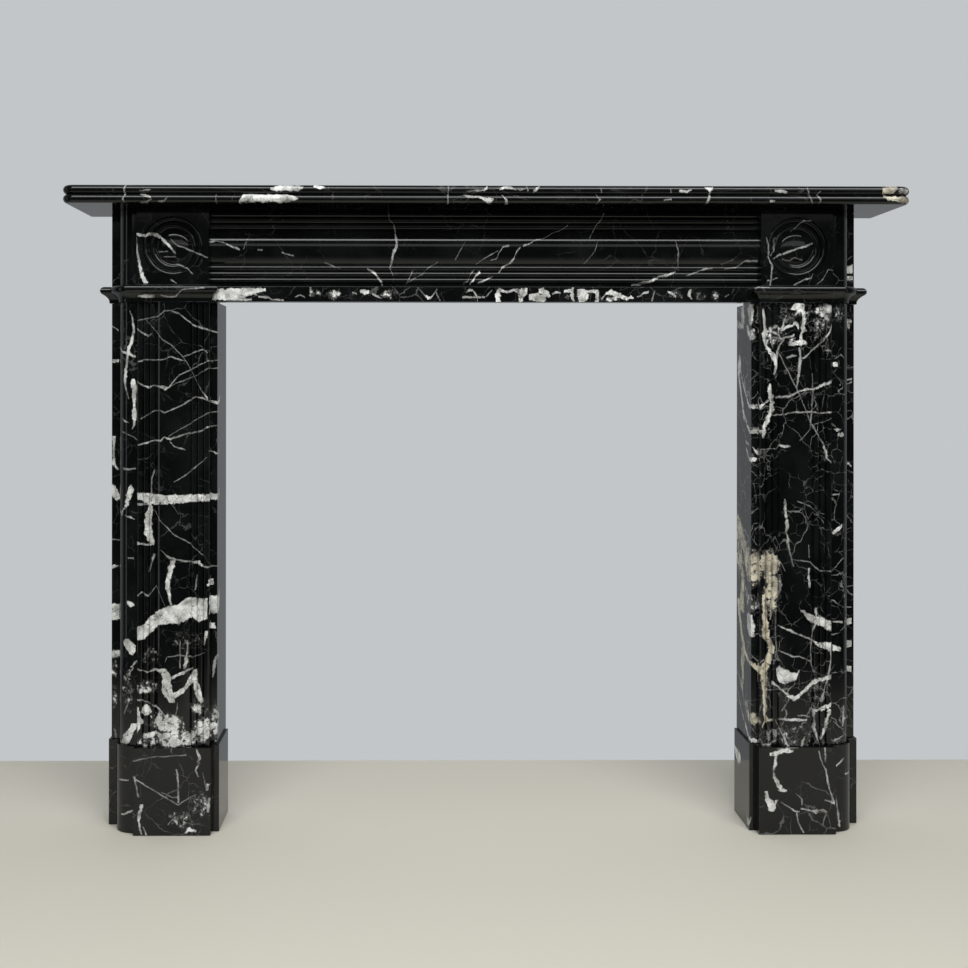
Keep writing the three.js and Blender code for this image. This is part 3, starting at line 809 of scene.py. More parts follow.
        level((748, 1240, 11.3), (758, 1242, 16), (769, 1243, 13), (776, 1246, 5), cream=1),
        patch(788, 1240, 19, 11, 0.8, white=0.7),
        level((750, 1229, 4.5), (766, 1226, 8.5), (788, 1224, 13), (808, 1223, 11), cream=1),
    ),
    "frieze": (
        level((-537, 1150, 3.9), (-523, 1152, 2), (-508, 1148, 2.3), (-494, 1142, 4.3),
            (-478, 1136, 2.7)),
        rising((1136, -471, 1.6), (1157, -463, 1.6)),
        level((-443, 1135, 2), (-434, 1134, 3.5)),
        level((-396, 1130, 2.3), (-373, 1124, 2.3)),
        level((-313, 1111, 3.1), (-283, 1099, 1.6)),
        level((-231, 1099, 2), (-215, 1091, 5.1), (-209, 1081, 5.1), (-201, 1070, 6.6)),
        rising((1087, -180, 1.6), (1101, -186, 2), (1132, -178, 5.1), (1146, -172, 4.7),
            (1157, -174, 3.1), (1185, -178, 1.8), (1196, -188, 1.6), (1220, -190, 1.4)),
        rising((1070, -154, 2.3), (1097, -141, 1.6)),
        level((-156, 1070, 1.4), (-123, 1089, 1.6), (-112, 1101, 1.8), (-92, 1113, 1.4)),
        rising((1116, -59, 1.6), (1152, -39, 1.6)),
        level((-43, 1070, 2.5), (-33, 1075, 2.7), (-30, 1089, 2), (-22, 1097, 3.1)),
        level((-30, 1070, 4.3), (-22, 1079, 4.7), (-18, 1087, 4.7), (-10, 1093, 5.9)),
        level((-14, 1072, 3.1), (-0, 1077, 4.7), (15, 1085, 2.3)),
        level((-18, 1109, 1.4), (10, 1126, 2), (25, 1134, 1.8)),
        level((11, 1116, 1.4), (21, 1118, 2), (29, 1134, 2.7), (35, 1142, 2.9), (47, 1144, 2.7)),
        level((27, 1093, 3.9), (33, 1101, 4.3), (45, 1109, 2.7), (56, 1118, 5.5), (60, 1132, 3.5),
            (68, 1140, 3.1)),
        level((74, 1144, 3.9), (86, 1148, 3.1), (95, 1154, 2.3), (109, 1157, 2)),
        level((109, 1156, 1.2), (131, 1169, 1.2), (150, 1177, 1.4), (162, 1185, 1.6)),
        rising((1157, 203, 1.8), (1179, 213, 1.6), (1195, 226, 2), (1208, 232, 1.4)),
        rising((1109, 193, 1.4), (1132, 213, 1.6), (1156, 220, 1)),
        level((287, 1068, 2), (296, 1070, 4.3), (322, 1075, 4.3), (343, 1085, 4.3), (357, 1087, 5.1),
            (373, 1095, 2.3)),
        level((394, 1087, 2), (431, 1100, 3.1), (445, 1101, 2)),
        rising((1105, 378, 1.6), (1136, 376, 2), (1154, 371, 1.6)),
        level((462, 1109, 1.2), (484, 1118, 1.6)),
        level((468, 1100, 2.3), (492, 1103, 2), (507, 1115, 2.3), (533, 1116, 2.7)),
    ),
    "left_block": (
        level((-679, 1164, 5.1), (-661, 1162, 4.3), (-646, 1166, 5.1), (-632, 1160, 5.8),
            (-611, 1139, 6.6), (-601, 1127, 2.7)),
        level((-601, 1108, 1.9), (-578, 1098, 2.9), (-568, 1088, 1.9)),
        level((-611, 1156, 1.9), (-601, 1144, 2.5), (-576, 1135, 3.5), (-539, 1119, 1.9)),
        rising((1069, -660, 7.8), (1088, -667, 5.8), (1135, -677, 3.1), (1158, -677, 1.6)),
        level((-638, 1131, 1.6), (-617, 1131, 1.6)),
        level((-626, 1121, 1.4), (-601, 1121, 1.6)),
        level((-611, 1076, 2.5), (-599, 1069, 2.3)),
    ),
    "right_block": (
        level((561, 1119, 2.3), (574, 1127, 3.1), (617, 1141, 3.5), (640, 1150, 2.3)),
        rising((1067, 555, 2.3), (1106, 559, 3.1), (1123, 551, 2.3), (1144, 551, 2.3), (1160, 547, 1.7)),
        rising((1125, 555, 1.9), (1135, 563, 2.3), (1156, 563, 1.9), (1162, 567, 1.7)),
        level((549, 1076, 2.3), (570, 1082, 1.9)),
        level((601, 1067, 1.9), (619, 1078, 2.7), (635, 1082, 2.5), (638, 1090, 1.9)),
        level((646, 1069, 1.9), (658, 1080, 2.3), (668, 1098, 1.9), (677, 1096, 1.7)),
        level((596, 1172, 1.9), (619, 1193, 2.7), (635, 1193, 1.9)),
        level((580, 1119, 1.7), (594, 1115, 2.1), (601, 1121, 1.9), (619, 1117, 1.7)),
    ),
    "left_foot": (
        level((-683, 144, 2.7), (-650, 152, 1.9), (-578, 156, 1.9)),
        rising((113, -555, 1.9), (127, -561, 2.7), (138, -555, 4.3), (152, -553, 4.6), (167, -559, 2.7)),
        rising((63, -594, 3.1), (88, -594, 2.5), (115, -595, 3.1), (129, -598, 2.3)),
        level((-683, 113, 2.7), (-594, 59, 2.5), (-584, 67, 1.9), (-559, 80, 1.7)),
        rising((74, -671, 2.3), (115, -679, 3.5)),
        level((-627, 84, 1.4), (-606, 74, 1.9), (-596, 74, 2.1)),
        rising((3, -666, 2.3), (30, -671, 5), (47, -668, 5.8), (61, -664, 5)),
        rising((1, -656, 3.1), (18, -662, 1.9)),
        rising((45, -536, 3.9), (61, -536, 5.8), (74, -534, 2.7)),
        rising((88, -538, 3.9), (101, -536, 6.6)),
        level((-615, 22, 2.3), (-604, 32, 1.9), (-596, 24, 5.8)),
        level((-582, 5, 1.9), (-573, 12, 7.7), (-559, 9, 3.9)),
        patch(-552, 62, 30, 34, 0.66),
        patch(-586, 28, 40, 28, 0.55),
        level((-714, 101, 3.1), (-693, 103, 3.1)),
        level((-710, 34, 3.9), (-683, 45, 3.5)),
        rising((92, -540, 1.9), (123, -547, 1.4)),
    ),
    "right_foot": (
        level((553, 156, 5.8), (566, 158, 8.9), (578, 163, 7.7), (590, 163, 7.7), (599, 162, 3.1)),
        level((566, 167, 2.3), (609, 168, 1.9)),
        rising((84, 576, 5.8), (92, 572, 9.7), (101, 568, 8.9), (111, 562, 5.8), (123, 560, 3.1),
            (136, 563, 5.4), (152, 564, 4.6)),
        level((568, 86, 1.9), (578, 86, 6.2), (586, 86, 3.9)),
        rising((45, 557, 7.7), (55, 557, 15.5), (65, 551, 13.6), (74, 547, 7), (84, 545, 5.8)),
        rising((45, 557, 5), (57, 562, 5.8), (67, 566, 4.6)),
        level((574, 63, 1.5), (603, 45, 3.5), (611, 45, 1.9)),
        level((613, 51, 3.1), (632, 47, 3.1), (642, 45, 8.5), (650, 47, 2.7), (657, 47, 5.8),
            (665, 44, 2.7)),
        rising((3, 619, 3.1), (26, 607, 2.5), (45, 605, 2.7)),
        rising((61, 679, 2.9), (88, 669, 2.5), (107, 665, 3.5), (127, 661, 2.5), (146, 652, 2.1),
            (163, 648, 1.9)),
        rising((142, 661, 2.3), (169, 660, 3.1)),
        level((659, 67, 1.9), (671, 64, 2.7), (679, 61, 5)),
        rising((57, 615, 2.3), (69, 615, 2.7), (80, 603, 1.9)),
        rising((18, 655, 2.3), (41, 663, 1.9)),
        rising((9, 694, 3.5), (82, 684, 2.3)),
        level((683, 127, 4.3), (702, 142, 3.5)),
        level((706, 111, 3.5), (719, 113, 2.7)),
        rising((88, 512, 2.3), (148, 510, 1.7)),
        rising((7, 516, 5), (26, 522, 1.9)),
    ),
    "left_capital": (
        level((-673, 1044, 3.5), (-660, 1044, 5), (-641, 1044, 3.9)),
        level((-629, 1046, 1.9), (-614, 1042, 3.1), (-600, 1044, 3.1), (-585, 1056, 2.5),
            (-542, 1060, 1.9)),
    ),
    "right_capital": (
        # The short white line near the left end of the nose's top is partly the stone's white and partly a
        # painted highlight, where the bright line of the key light runs along the nose.
        level((520, 1058, 2.2), (526, 1062, 2.6), (548, 1061, 1.4)),
    ),
}
# The nodes that the veins of a region are drawn on.
PANEL_AND_RETURN = ("jamb_panel", "jamb_return")
FOOT = ("plinth_block", "plinth_corner_post", "plinth_side_slip", "plinth_return")
REGIONS = {
    "shelf": ("shelf",), "frieze": ("frieze_panel",), "lintel": ("lintel_band",),
    "block": ("corner_block",), "capital": ("capital",), "jamb": PANEL_AND_RETURN, "foot": FOOT,
    "post": ("jamb_corner_post", "frieze_corner_post"), "slip": ("jamb_side_slip", "frieze_side_slip"),
}
# How strong the hairline network is in a slab, where it isn't as strong as in the others.
LIVELY = {"frieze_panel": 0.25, "shelf": 0.5, "capital": 0.6, "corner_block": 0.5, "left_jamb": 0.6,
          "right_jamb": 2.2}
# Each hairline network's share of the web scale, the width of its lines in metres, and its cover.
NETWORKS = {"broad": (1.0, 0.0008, 0.46), "fine": (2.3, 0.0005, 0.43), "cracks": (3.6, 0.0006, 0.55)}
MM = 0.001


def vein_box(vein):
    """The lowest and highest x and z of a vein, in millimetres."""
    if vein["kind"] == "patch":
        x, z = vein["centre"]
        reach_x, reach_z = vein["reach"]
        return x - reach_x, x + reach_x, z - reach_z, z + reach_z
    along = [p[0] for p in vein["points"]]
    across = [p[1] + side * p[2] / 2 for p in vein["points"] for side in (-1, 1)]
    spans = ((min(along), max(along)), (min(across), max(across)))
    (left, right), (bottom, top) = spans if vein["along"] == "X" else reversed(spans)
    return left, right, bottom, top


def veins_of(node):
    """The veins that cross a node, from its region's list."""
    low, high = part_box(node)
    margin = 6
    found = []
    for region, veins in VEINS.items():
        side, _, kind = region.rpartition("_")
        if not node.startswith(side) or not any(node.endswith(part) for part in REGIONS[kind]):
            continue
        for vein in veins:
            left, right, bottom, top = vein_box(vein)
            if (left < high.x / MM + margin and right > low.x / MM - margin
                    and bottom < high.z / MM + margin and top > low.z / MM - margin):
                found.append(vein)
    return found


def curve_node(g, factor, values):
    """A Float Curve through (place, value) pairs, with places from 0 to 1."""
    node = g.add("ShaderNodeFloatCurve", {"Factor": 1.0, "Value": factor})
    points = node.mapping.curves[0].points
    points[0].location = values[0]
    points[1].location = values[-1]
    for x, y in values[1:-1]:
        points.new(x, y)
    for point in points:
        point.handle_type = "VECTOR"
    node.mapping.update()
    return node.outputs["Value"]


def path_mask(g, vein, rough, across_x, across_z):
    """The mask of one drawn vein."""
    points = sorted(vein["points"])
    first, last = points[0][0], points[-1][0]
    low = min(p[1] for p in points)
    span = max(max(p[1] for p in points) - low, 1.0)
    widest = max(p[2] for p in points)
    along, across = (across_z, across_x) if vein["along"] == "Z" else (across_x, across_z)
    factor = g.add("ShaderNodeMapRange", {"Value": along, "From Min": first * MM, "From Max": last * MM}
                   ).outputs["Result"]
    places = [(p[0] - first) / (last - first) for p in points]
    where = curve_node(g, factor, [(t, (p[1] - low) / span) for t, p in zip(places, points)])
    thick = curve_node(g, factor, [(t, p[2] / widest) for t, p in zip(places, points)])
    return g.place(shader_group("drawn"), {
        "Rough": rough, "Across": across, "Along": along, "First": first * MM, "Last": last * MM,
        "Path": g.maths("MULTIPLY_ADD", where, span * MM, low * MM),
        "Width": g.maths("MULTIPLY", thick, widest * MM)})["Mask"]


def patch_mask(g, vein, vector, grain, fleck):
    """The mask of one mottled mass, which runs right through the slab."""
    x, z = vein["centre"]
    reach_x, reach_z = vein["reach"]
    through = 100.0
    return g.place(shader_group("patch"), {
        "Vector": vector, "Grain": grain, "Fleck": fleck, "Centre": (x * MM, 0.0, z * MM),
        "Reach": (reach_x * MM, through, reach_z * MM), "Fill": vein["fill"]})["Mask"]


def slanted(g, place, front):
    """Coordinates that lean over behind the moulded front, so that veins run on into the stone."""
    parts = g.add("ShaderNodeSeparateXYZ", {"Vector": place}).outputs
    relief, lean_x, lean_z = 0.014, 0.45, -0.8
    depth = g.maths("MAXIMUM", g.maths("SUBTRACT", parts["Y"], front + relief), 0.0)
    return g.add("ShaderNodeCombineXYZ", {
        "X": g.maths("MULTIPLY_ADD", depth, lean_x, parts["X"]), "Y": parts["Y"],
        "Z": g.maths("MULTIPLY_ADD", depth, lean_z, parts["Z"])}).outputs["Vector"]


def joined(g, masks):
    """The greatest of several masks."""
    whole = masks[0]
    for mask in masks[1:]:
        whole = g.maths("MAXIMUM", whole, mask)
    return whole


def own_part(g, place, node):
    """The slab's own part of the stone: places moved and turned by a number made from its name."""
    numbers, turn_step = 997, 37
    steps, choices = (0.31, 0.23, 0.17), (13, 7, 11)
    pitch_share, roll = 0.4, 0.15
    number = sum(ord(letter) * (i + 3) for i, letter in enumerate(node)) % numbers
    turn = math.radians(number * turn_step % 360)
    shift = [step * (number % choice) for step, choice in zip(steps, choices)]
    return g.add("ShaderNodeMapping", {"Vector": place, "Location": shift,
                                       "Rotation": (pitch_share * turn, roll, turn)}).outputs["Vector"]


def hairlines(g, own, stone, lively):
    """The masks of the hairline networks, of which a lively slab shows a larger share."""
    more_cover = 0.05
    spread = more_cover * max(lively - 1.0, 0.0)
    bent = g.place(shader_group("warp"), {"Vector": own, "Scale": 30.0, "Reach": 0.026,
                                          "Detail": 6.0})["Vector"]
    return {name: g.place(shader_group("crack"), {
                "Vector": bent, "Scale": stone.web_scale * scale, "Width": width,
                "Cover": cover + spread})["Mask"]
            for name, (scale, width, cover) in NETWORKS.items()}


def drawn_veins(g, lean, drawn, cracks, stone):
    """The joined mask of a slab's drawn veins, broken by cracks and thin places, and their warmth."""
    warped = g.place(shader_group("warp"), {"Vector": lean, "Scale": 75.0, "Reach": 0.0045,
                                            "Detail": 4.0})["Vector"]
    parts = g.add("ShaderNodeSeparateXYZ", {"Vector": warped}).outputs
    grain_scale, fleck_scale, fray_scale, thin_scale = 95.0, 340.0, 130.0, 36.0
    thinnest = 0.5
    grain = g.noise(lean, grain_scale, 5.0, 0.65)
    fleck = g.noise(lean, fleck_scale, 3.0, 0.6)
    rough = g.maths("SUBTRACT", g.noise(lean, fray_scale, 4.0, 0.72), 0.5)
    masks = {0: [], 1: []}
    for vein in drawn:
        mask = (patch_mask(g, vein, warped, grain, fleck) if vein["kind"] == "patch"
                else path_mask(g, vein, rough, parts["X"], parts["Z"]))
        masks[vein["cream"]].append(g.maths("MULTIPLY", mask, vein["white"]))
    unbroken = g.maths("SUBTRACT", 1.0, g.maths("MULTIPLY", cracks, stone.breaks))
    solid = g.fade(g.noise(lean, thin_scale, 3.0, 0.6), 0.3, 0.6, thinnest, 1.0)
    white = joined(g, masks[0] or masks[1])
    warmth = 0.0
    if masks[0] and masks[1]:
        warmth = joined(g, masks[1])
        white = g.maths("MAXIMUM", white, warmth)
    elif masks[1]:
        warmth = 1.0
    return g.maths("MULTIPLY", white, g.maths("MULTIPLY", unbroken, solid)), warmth


def marble_material(node):
    """Polished black marble. Each slab has its own part of the stone, and the veins drawn on it."""
    stone = bpy.context.scene.mantel_stone
    material = bpy.data.materials.new("marble_" + node)
    material.use_nodes = True
    tree = material.node_tree
    tree.nodes.clear()
    g = Graph(tree)
    place = g.add("ShaderNodeTexCoord").outputs["Object"]
    own = own_part(g, place, node)
    lively = next((share for part, share in LIVELY.items() if part in node), 1.0)
    web = hairlines(g, own, stone, lively)
    share = stone.web * lively
    faint = g.maths("MAXIMUM", g.maths("MULTIPLY", web["broad"], share),
                    g.maths("MULTIPLY", web["fine"], share / 2))
    whole, warmth = faint, 0.0
    drawn = veins_of(node)
    if drawn:
        white, warmth = drawn_veins(g, slanted(g, place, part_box(node)[0].y), drawn, web["cracks"], stone)
        whole = g.maths("MAXIMUM", faint, white)
    ground = g.place(shader_group("ground"), {
        "Vector": own, "Ground": (*stone.ground, 1.0), "Haze": (*stone.haze, 1.0)})["Color"]
    pale = g.place(shader_group("colour"), {
        "Vector": place, "Vein": (*stone.vein, 1.0), "Stain": (*stone.stain, 1.0),
        "Warmth": warmth})["Color"]
    smear_scale, dullest = 14.0, 1.7
    smear = g.noise(own, smear_scale, 3.0, 0.6)
    roughness = g.add("ShaderNodeMix", data_type="FLOAT")
    g.feed(roughness.inputs["Factor"], whole)
    g.feed(roughness.inputs[2], g.fade(smear, 0.35, 0.75, stone.polish, stone.polish * dullest))
    g.feed(roughness.inputs[3], stone.vein_polish)
    wave_scale, wave_height, calcite_ior = 7.0, 0.0005, 1.46
    wave = g.noise(place, wave_scale, 2.0, 0.45)
    bump = g.add("ShaderNodeBump", {"Height": wave, "Strength": 1.0, "Distance": wave_height})
    shader = g.add("ShaderNodeBsdfPrincipled", {
        "Base Color": g.blend(whole, ground, pale), "Roughness": roughness.outputs[0],
        "Normal": bump.outputs["Normal"], "IOR": calcite_ior})
    output = g.add("ShaderNodeOutputMaterial")
    tree.links.new(shader.outputs["BSDF"], output.inputs["Surface"])
    return material


# Operators

class MANTEL_OT_shelf(bpy.types.Operator):
    """Models the shelf, with two half-round beads along its front and sides"""

    bl_idname = "mantel.shelf"
    bl_label = "Shelf"

    def execute(self, context):
        corner = context.scene.mantel_mouldings.shelf_corner
        corner_steps, bead_steps = 14, 10
        back_edge, sliver = 0.0001, 0.00002
        low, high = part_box("shelf")
        bead = (high.z - low.z) / 2
        obj = cube(piece_name("shelf"), low, (high.x, high.y, low.z + bead))
        make_active(obj)
        bpy.ops.object.mode_set(mode="EDIT")
        pick(obj, "EDGE", lambda e: near(middle(e).y, low.y) and near(middle(e).z, low.z + bead / 2))
        bpy.ops.mesh.bevel(offset=corner, segments=corner_steps, profile=0.5, affect="EDGES")
        pick(obj, "EDGE", lambda e: middle(e).y < high.y - back_edge
             and near(e.verts[0].co.z, e.verts[1].co.z))
        bpy.ops.mesh.bevel(offset=bead / 2 - sliver, segments=bead_steps, profile=0.5, affect="EDGES")
        bpy.ops.mesh.select_all(action="SELECT")
        bpy.ops.mesh.remove_doubles(threshold=3 * sliver)
        bpy.ops.mesh.select_all(action="SELECT")
        bpy.ops.mesh.duplicate_move(TRANSFORM_OT_translate={"value": (0, 0, bead)})
        level_enough, corners = 0.99, 8
        pick(obj, "FACE", lambda f: abs(f.normal.z) > level_enough and len(f.verts) > corners
             and near(f.calc_center_median().z, low.z + bead))
        bpy.ops.mesh.delete(type="FACE")
        bpy.ops.object.mode_set(mode="OBJECT")
        settle(obj)
        finish_piece(obj, "shelf")
        return {"FINISHED"}


def reeded_panel(name, node, across_axis, run_axis, pattern_low, pattern_high, moulding):
    """A slab whose face is a chain of reeds and a torus, each spun from the last edge of the one before.
    The pattern lies across one axis between its low and high place, and the slab runs along the other."""
    reed_steps, torus_steps = 12, 36
    low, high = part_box(node)
    across = "XYZ".index(across_axis)
    run = "XYZ".index(run_axis)
    valley_y = low.y + moulding.torus_rise
    half = (pattern_high - pattern_low) / 2
    centre = (pattern_high + pattern_low) / 2
    torus_half = half - moulding.reed_count * moulding.reed_pitch

    def point(a, y, r):
        place = Vector((0, y, 0))
        place[across] = a
        place[run] = r
        return place

    deselect_all()
    bpy.ops.mesh.primitive_plane_add(size=1.0)
    obj = bpy.context.object
    obj.name = obj.data.name = name
    corners = [point(pattern_low, high.y, low[run]), point(pattern_low, valley_y, low[run]),
               point(pattern_low, valley_y, high[run]), point(pattern_low, high.y, high[run])]
    order = obj.data.polygons[0].vertices
    for index, place in zip(order, corners):
        obj.data.vertices[index].co = place
    bpy.ops.object.mode_set(mode="EDIT")
    axis = Vector((0, 0, 0))
    axis[across] = 1
    axis = axis.cross(Vector((0, -1, 0)))

    def at(a, y):
        return lambda e: near(middle(e)[across], a) and near(middle(e).y, y) and near(
            e.verts[0].co[across], e.verts[1].co[across]) and near(e.verts[0].co.y, e.verts[1].co.y)

    def spin(start, end, rise, steps):
        half_chord = (end - start) / 2
        reach = 2 * math.atan2(rise, half_chord)
        radius = half_chord / math.sin(reach)
        pick(obj, "EDGE", at(start, valley_y))
        hub = point((start + end) / 2, valley_y - rise + radius, (low[run] + high[run]) / 2)
        bpy.ops.mesh.spin(steps=steps, angle=2 * reach, center=hub, axis=axis)

    def reeds(place):
        for _ in range(moulding.reed_count):
            spin(place, place + moulding.reed_pitch, moulding.reed_rise, reed_steps)
            place += moulding.reed_pitch

    reeds(pattern_low)
    spin(centre - torus_half, centre + torus_half, moulding.torus_rise, torus_steps)
    reeds(centre + torus_half)
    pick(obj, "EDGE", at(pattern_high, valley_y))
    bpy.ops.mesh.extrude_region_move(TRANSFORM_OT_translate={"value": (0, high.y - valley_y, 0)})
    pick(obj, "EDGE", lambda e: at(pattern_high, high.y)(e) or at(pattern_low, high.y)(e))
    bpy.ops.mesh.edge_face_add()
    for end in (low[run], high[run]):
        pick(obj, "EDGE", lambda e: near(e.verts[0].co[run], end) and near(e.verts[1].co[run], end))
        bpy.ops.mesh.edge_face_add()
    bpy.ops.object.mode_set(mode="OBJECT")
    return obj


class MANTEL_OT_jamb_panels(bpy.types.Operator):
    """Models the reeded fronts of the jambs"""

    bl_idname = "mantel.jamb_panels"
    bl_label = "Jamb panels"

    def execute(self, context):
        moulding = context.scene.mantel_mouldings
        for word in SIDES:
            node = f"{word}_jamb_panel"
            low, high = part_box(node)
            obj = reeded_panel(piece_name(node), node, "X", "Z", low.x, high.x, moulding)
            settle(obj)
            finish_piece(obj, node)
        return {"FINISHED"}


class MANTEL_OT_frieze_panel(bpy.types.Operator):
    """Models the reeded frieze between the corner blocks, with its plain margins"""

    bl_idname = "mantel.frieze_panel"
    bl_label = "Frieze panel"

    def execute(self, context):
        moulding = context.scene.mantel_mouldings
        node = "frieze_panel"
        low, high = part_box(node)
        jamb_low, jamb_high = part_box("left_jamb_panel")
        half = (jamb_high.x - jamb_low.x) / 2
        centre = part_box("left_corner_block")[0].z + half + moulding.frieze_fillet
        obj = reeded_panel(piece_name(node), node, "Z", "X", centre - half, centre + half, moulding)
        valley = low.y + moulding.torus_rise
        for name, bottom, top in (("foot", low.z, centre - half), ("head", centre + half, high.z)):
            fillet = cube(name, (low.x, valley, bottom), (high.x, high.y, top))
            cut_or_join(obj, fillet, "UNION")
        settle(obj)
        finish_piece(obj, node)
        return {"FINISHED"}


def slab(node, context):
    """Models a plain slab with softened arrises, the size of its node."""
    obj = cube(piece_name(node), *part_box(node))
    soften(obj, context.scene.mantel_mouldings.arris)
    settle(obj)
    finish_piece(obj, node)


class MANTEL_OT_lintel_band(bpy.types.Operator):
    """Models the flat band over the opening"""

    bl_idname = "mantel.lintel_band"
    bl_label = "Lintel band"

    def execute(self, context):
        slab("lintel_band", context)
        return {"FINISHED"}


class MANTEL_OT_plinth_blocks(bpy.types.Operator):
    """Models the front blocks of the plinths"""

    bl_idname = "mantel.plinth_blocks"
    bl_label = "Plinth blocks"

    def execute(self, context):
        for word in SIDES:
            slab(f"{word}_plinth_block", context)
        return {"FINISHED"}


class MANTEL_OT_side_slips(bpy.types.Operator):
    """Models the outer slips of plinths, jambs and frieze"""

    bl_idname = "mantel.side_slips"
    bl_label = "Side slips"

    def execute(self, context):
        for word in SIDES:
            for storey in ("plinth", "jamb", "frieze"):
                slab(f"{word}_{storey}_side_slip", context)
        return {"FINISHED"}


class MANTEL_OT_returns(bpy.types.Operator):
    """Models the inner returns that line the opening"""

    bl_idname = "mantel.returns"
    bl_label = "Returns"

    def execute(self, context):
        for word in SIDES:
            for storey in ("plinth", "jamb"):
                slab(f"{word}_{storey}_return", context)
        return {"FINISHED"}


class MANTEL_OT_corner_posts(bpy.types.Operator):
    """Models the posts with a quarter-round outer corner"""

    bl_idname = "mantel.corner_posts"
    bl_label = "Corner posts"

    def execute(self, context):
        moulding = context.scene.mantel_mouldings
        for word, side in SIDES.items():
            for storey in ("plinth", "jamb", "frieze"):
                node = f"{word}_{storey}_corner_post"
                low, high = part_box(node)
                obj = cube(piece_name(node), low, high)
                make_active(obj)
                bpy.ops.object.mode_set(mode="EDIT")
                outer = high.x if side > 0 else low.x
                pick(obj, "EDGE", lambda e: near(middle(e).x, outer) and near(middle(e).y, low.y))
                radius = high.x - low.x - moulding.post_flat
                bpy.ops.mesh.bevel(offset=radius, segments=ROUND_STEPS, profile=0.5, affect="EDGES")
                bpy.ops.object.mode_set(mode="OBJECT")
                soften(obj, moulding.arris)
                settle(obj)
                finish_piece(obj, node)
        return {"FINISHED"}


def roundel_profile(rim):
    """The roundel's section from its rim to its centre, as (radius, depth under the face)."""
    outer_width, cove_width, inner_width, groove = 0.0085, 0.0045, 0.0105, 0.0025
    cove_depth, groove_depth = 0.008, 0.0085
    outer_sink, inner_sink, boss_sink = 0.0012, 0.0034, 0.0005
    ring_steps, boss_steps = 10, 10
    cove_haste = 1.3

    def ring(outer, inner, floor, sink):
        points = []
        for i in range(ring_steps + 1):
            angle = math.pi * i / ring_steps
            points.append(((outer + inner) / 2 + math.cos(angle) * (outer - inner) / 2,
                           floor - math.sin(angle) * (floor - sink)))
        return points

    cove_outer = rim - outer_width
    cove_inner = cove_outer - cove_width
    inner_edge = cove_inner - inner_width
    boss = inner_edge - groove
    points = ring(rim, cove_outer, cove_depth / 2, outer_sink)
    for i in range(1, ring_steps):
        t = i / ring_steps
        sweep = 1 - (1 - t) ** 2
        points.append((cove_outer - cove_width * t, cove_depth / 2 * (1 + min(1.0, sweep * cove_haste))))
    points += ring(cove_inner, inner_edge, cove_depth, inner_sink)
    points.append((inner_edge - groove / 2, groove_depth))
    for i in range(boss_steps):
        angle = math.pi / 2 * i / boss_steps
        points.append((boss * math.cos(angle), groove_depth - (groove_depth - boss_sink) * math.sin(angle)))
    points.append((0.0, boss_sink))
    return points


class MANTEL_OT_corner_blocks(bpy.types.Operator):
    """Models the corner blocks and turns a roundel into each"""

    bl_idname = "mantel.corner_blocks"
    bl_label = "Corner blocks"

    def execute(self, context):
        moulding = context.scene.mantel_mouldings
        clear, tip, rim_steps = 0.004, 1e-6, 128
        for word in SIDES:
            node = f"{word}_corner_block"
            low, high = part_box(node)
            obj = cube(piece_name(node), low, high)
            soften(obj, moulding.arris)
            half = (high.x - low.x) / 2
            rim = half - moulding.roundel_margin
            centre = Vector(((low.x + high.x) / 2, low.y, low.z + half + moulding.frieze_fillet))
            deselect_all()
            bpy.ops.mesh.primitive_circle_add(
                vertices=rim_steps, radius=rim, fill_type="NGON",
                location=centre - Vector((0, clear, 0)), rotation=(math.pi / 2, 0, 0))
            cutter = bpy.context.object
            bpy.ops.object.transform_apply(location=True, rotation=True, scale=True)
            bpy.ops.object.mode_set(mode="EDIT")
            bpy.ops.mesh.select_all(action="SELECT")
            radius, depth = rim, -clear
            for next_radius, next_depth in roundel_profile(rim):
                bpy.ops.mesh.extrude_region_move(
                    TRANSFORM_OT_translate={"value": (0, next_depth - depth, 0)})
                next_radius = max(next_radius, tip)
                size = next_radius / radius
                bpy.ops.transform.resize(value=(size, 1, size), center_override=centre)
                radius, depth = next_radius, next_depth
            bpy.ops.mesh.select_all(action="SELECT")
            bpy.ops.mesh.remove_doubles(threshold=5e-6)
            bpy.ops.mesh.normals_make_consistent(inside=False)
            bpy.ops.object.mode_set(mode="OBJECT")
            cut_or_join(obj, cutter, "DIFFERENCE")
            settle(obj, smooth_angle=40)
            finish_piece(obj, node)
        return {"FINISHED"}


def capital_profile(height):
    """The capital's section from its foot up, as (overhang, height)."""
    foot, fillet, overhang = 0.004, 0.003, 0.019
    nose_height, nose_depth, lowest = 0.016, 0.008, -math.pi / 3
    rise, flare = 0.005, 0.007
    nose_steps, ogee_steps = 16, 14
    base = overhang - nose_depth
    middle_z = height - nose_height / 2
    nose = []
    for i in range(nose_steps + 1):
        angle = lowest + (math.pi / 2 - lowest) * i / nose_steps
        nose.append((base + nose_depth * math.cos(angle), middle_z + nose_height / 2 * math.sin(angle)))
    start, end = (foot, fillet), nose[0]
    handles = (start, (start[0], start[1] + rise),
               (end[0] + flare * math.sin(lowest), end[1] - flare * math.cos(lowest)), end)
    points = [(foot, 0.0)]
    for i in range(ogee_steps):
        t = i / ogee_steps
        weights = ((1 - t) ** 3, 3 * t * (1 - t) ** 2, 3 * t * t * (1 - t), t ** 3)
        points.append(tuple(
            sum(w * handle[axis] for w, handle in zip(weights, handles)) for axis in (0, 1)))
    return points + nose


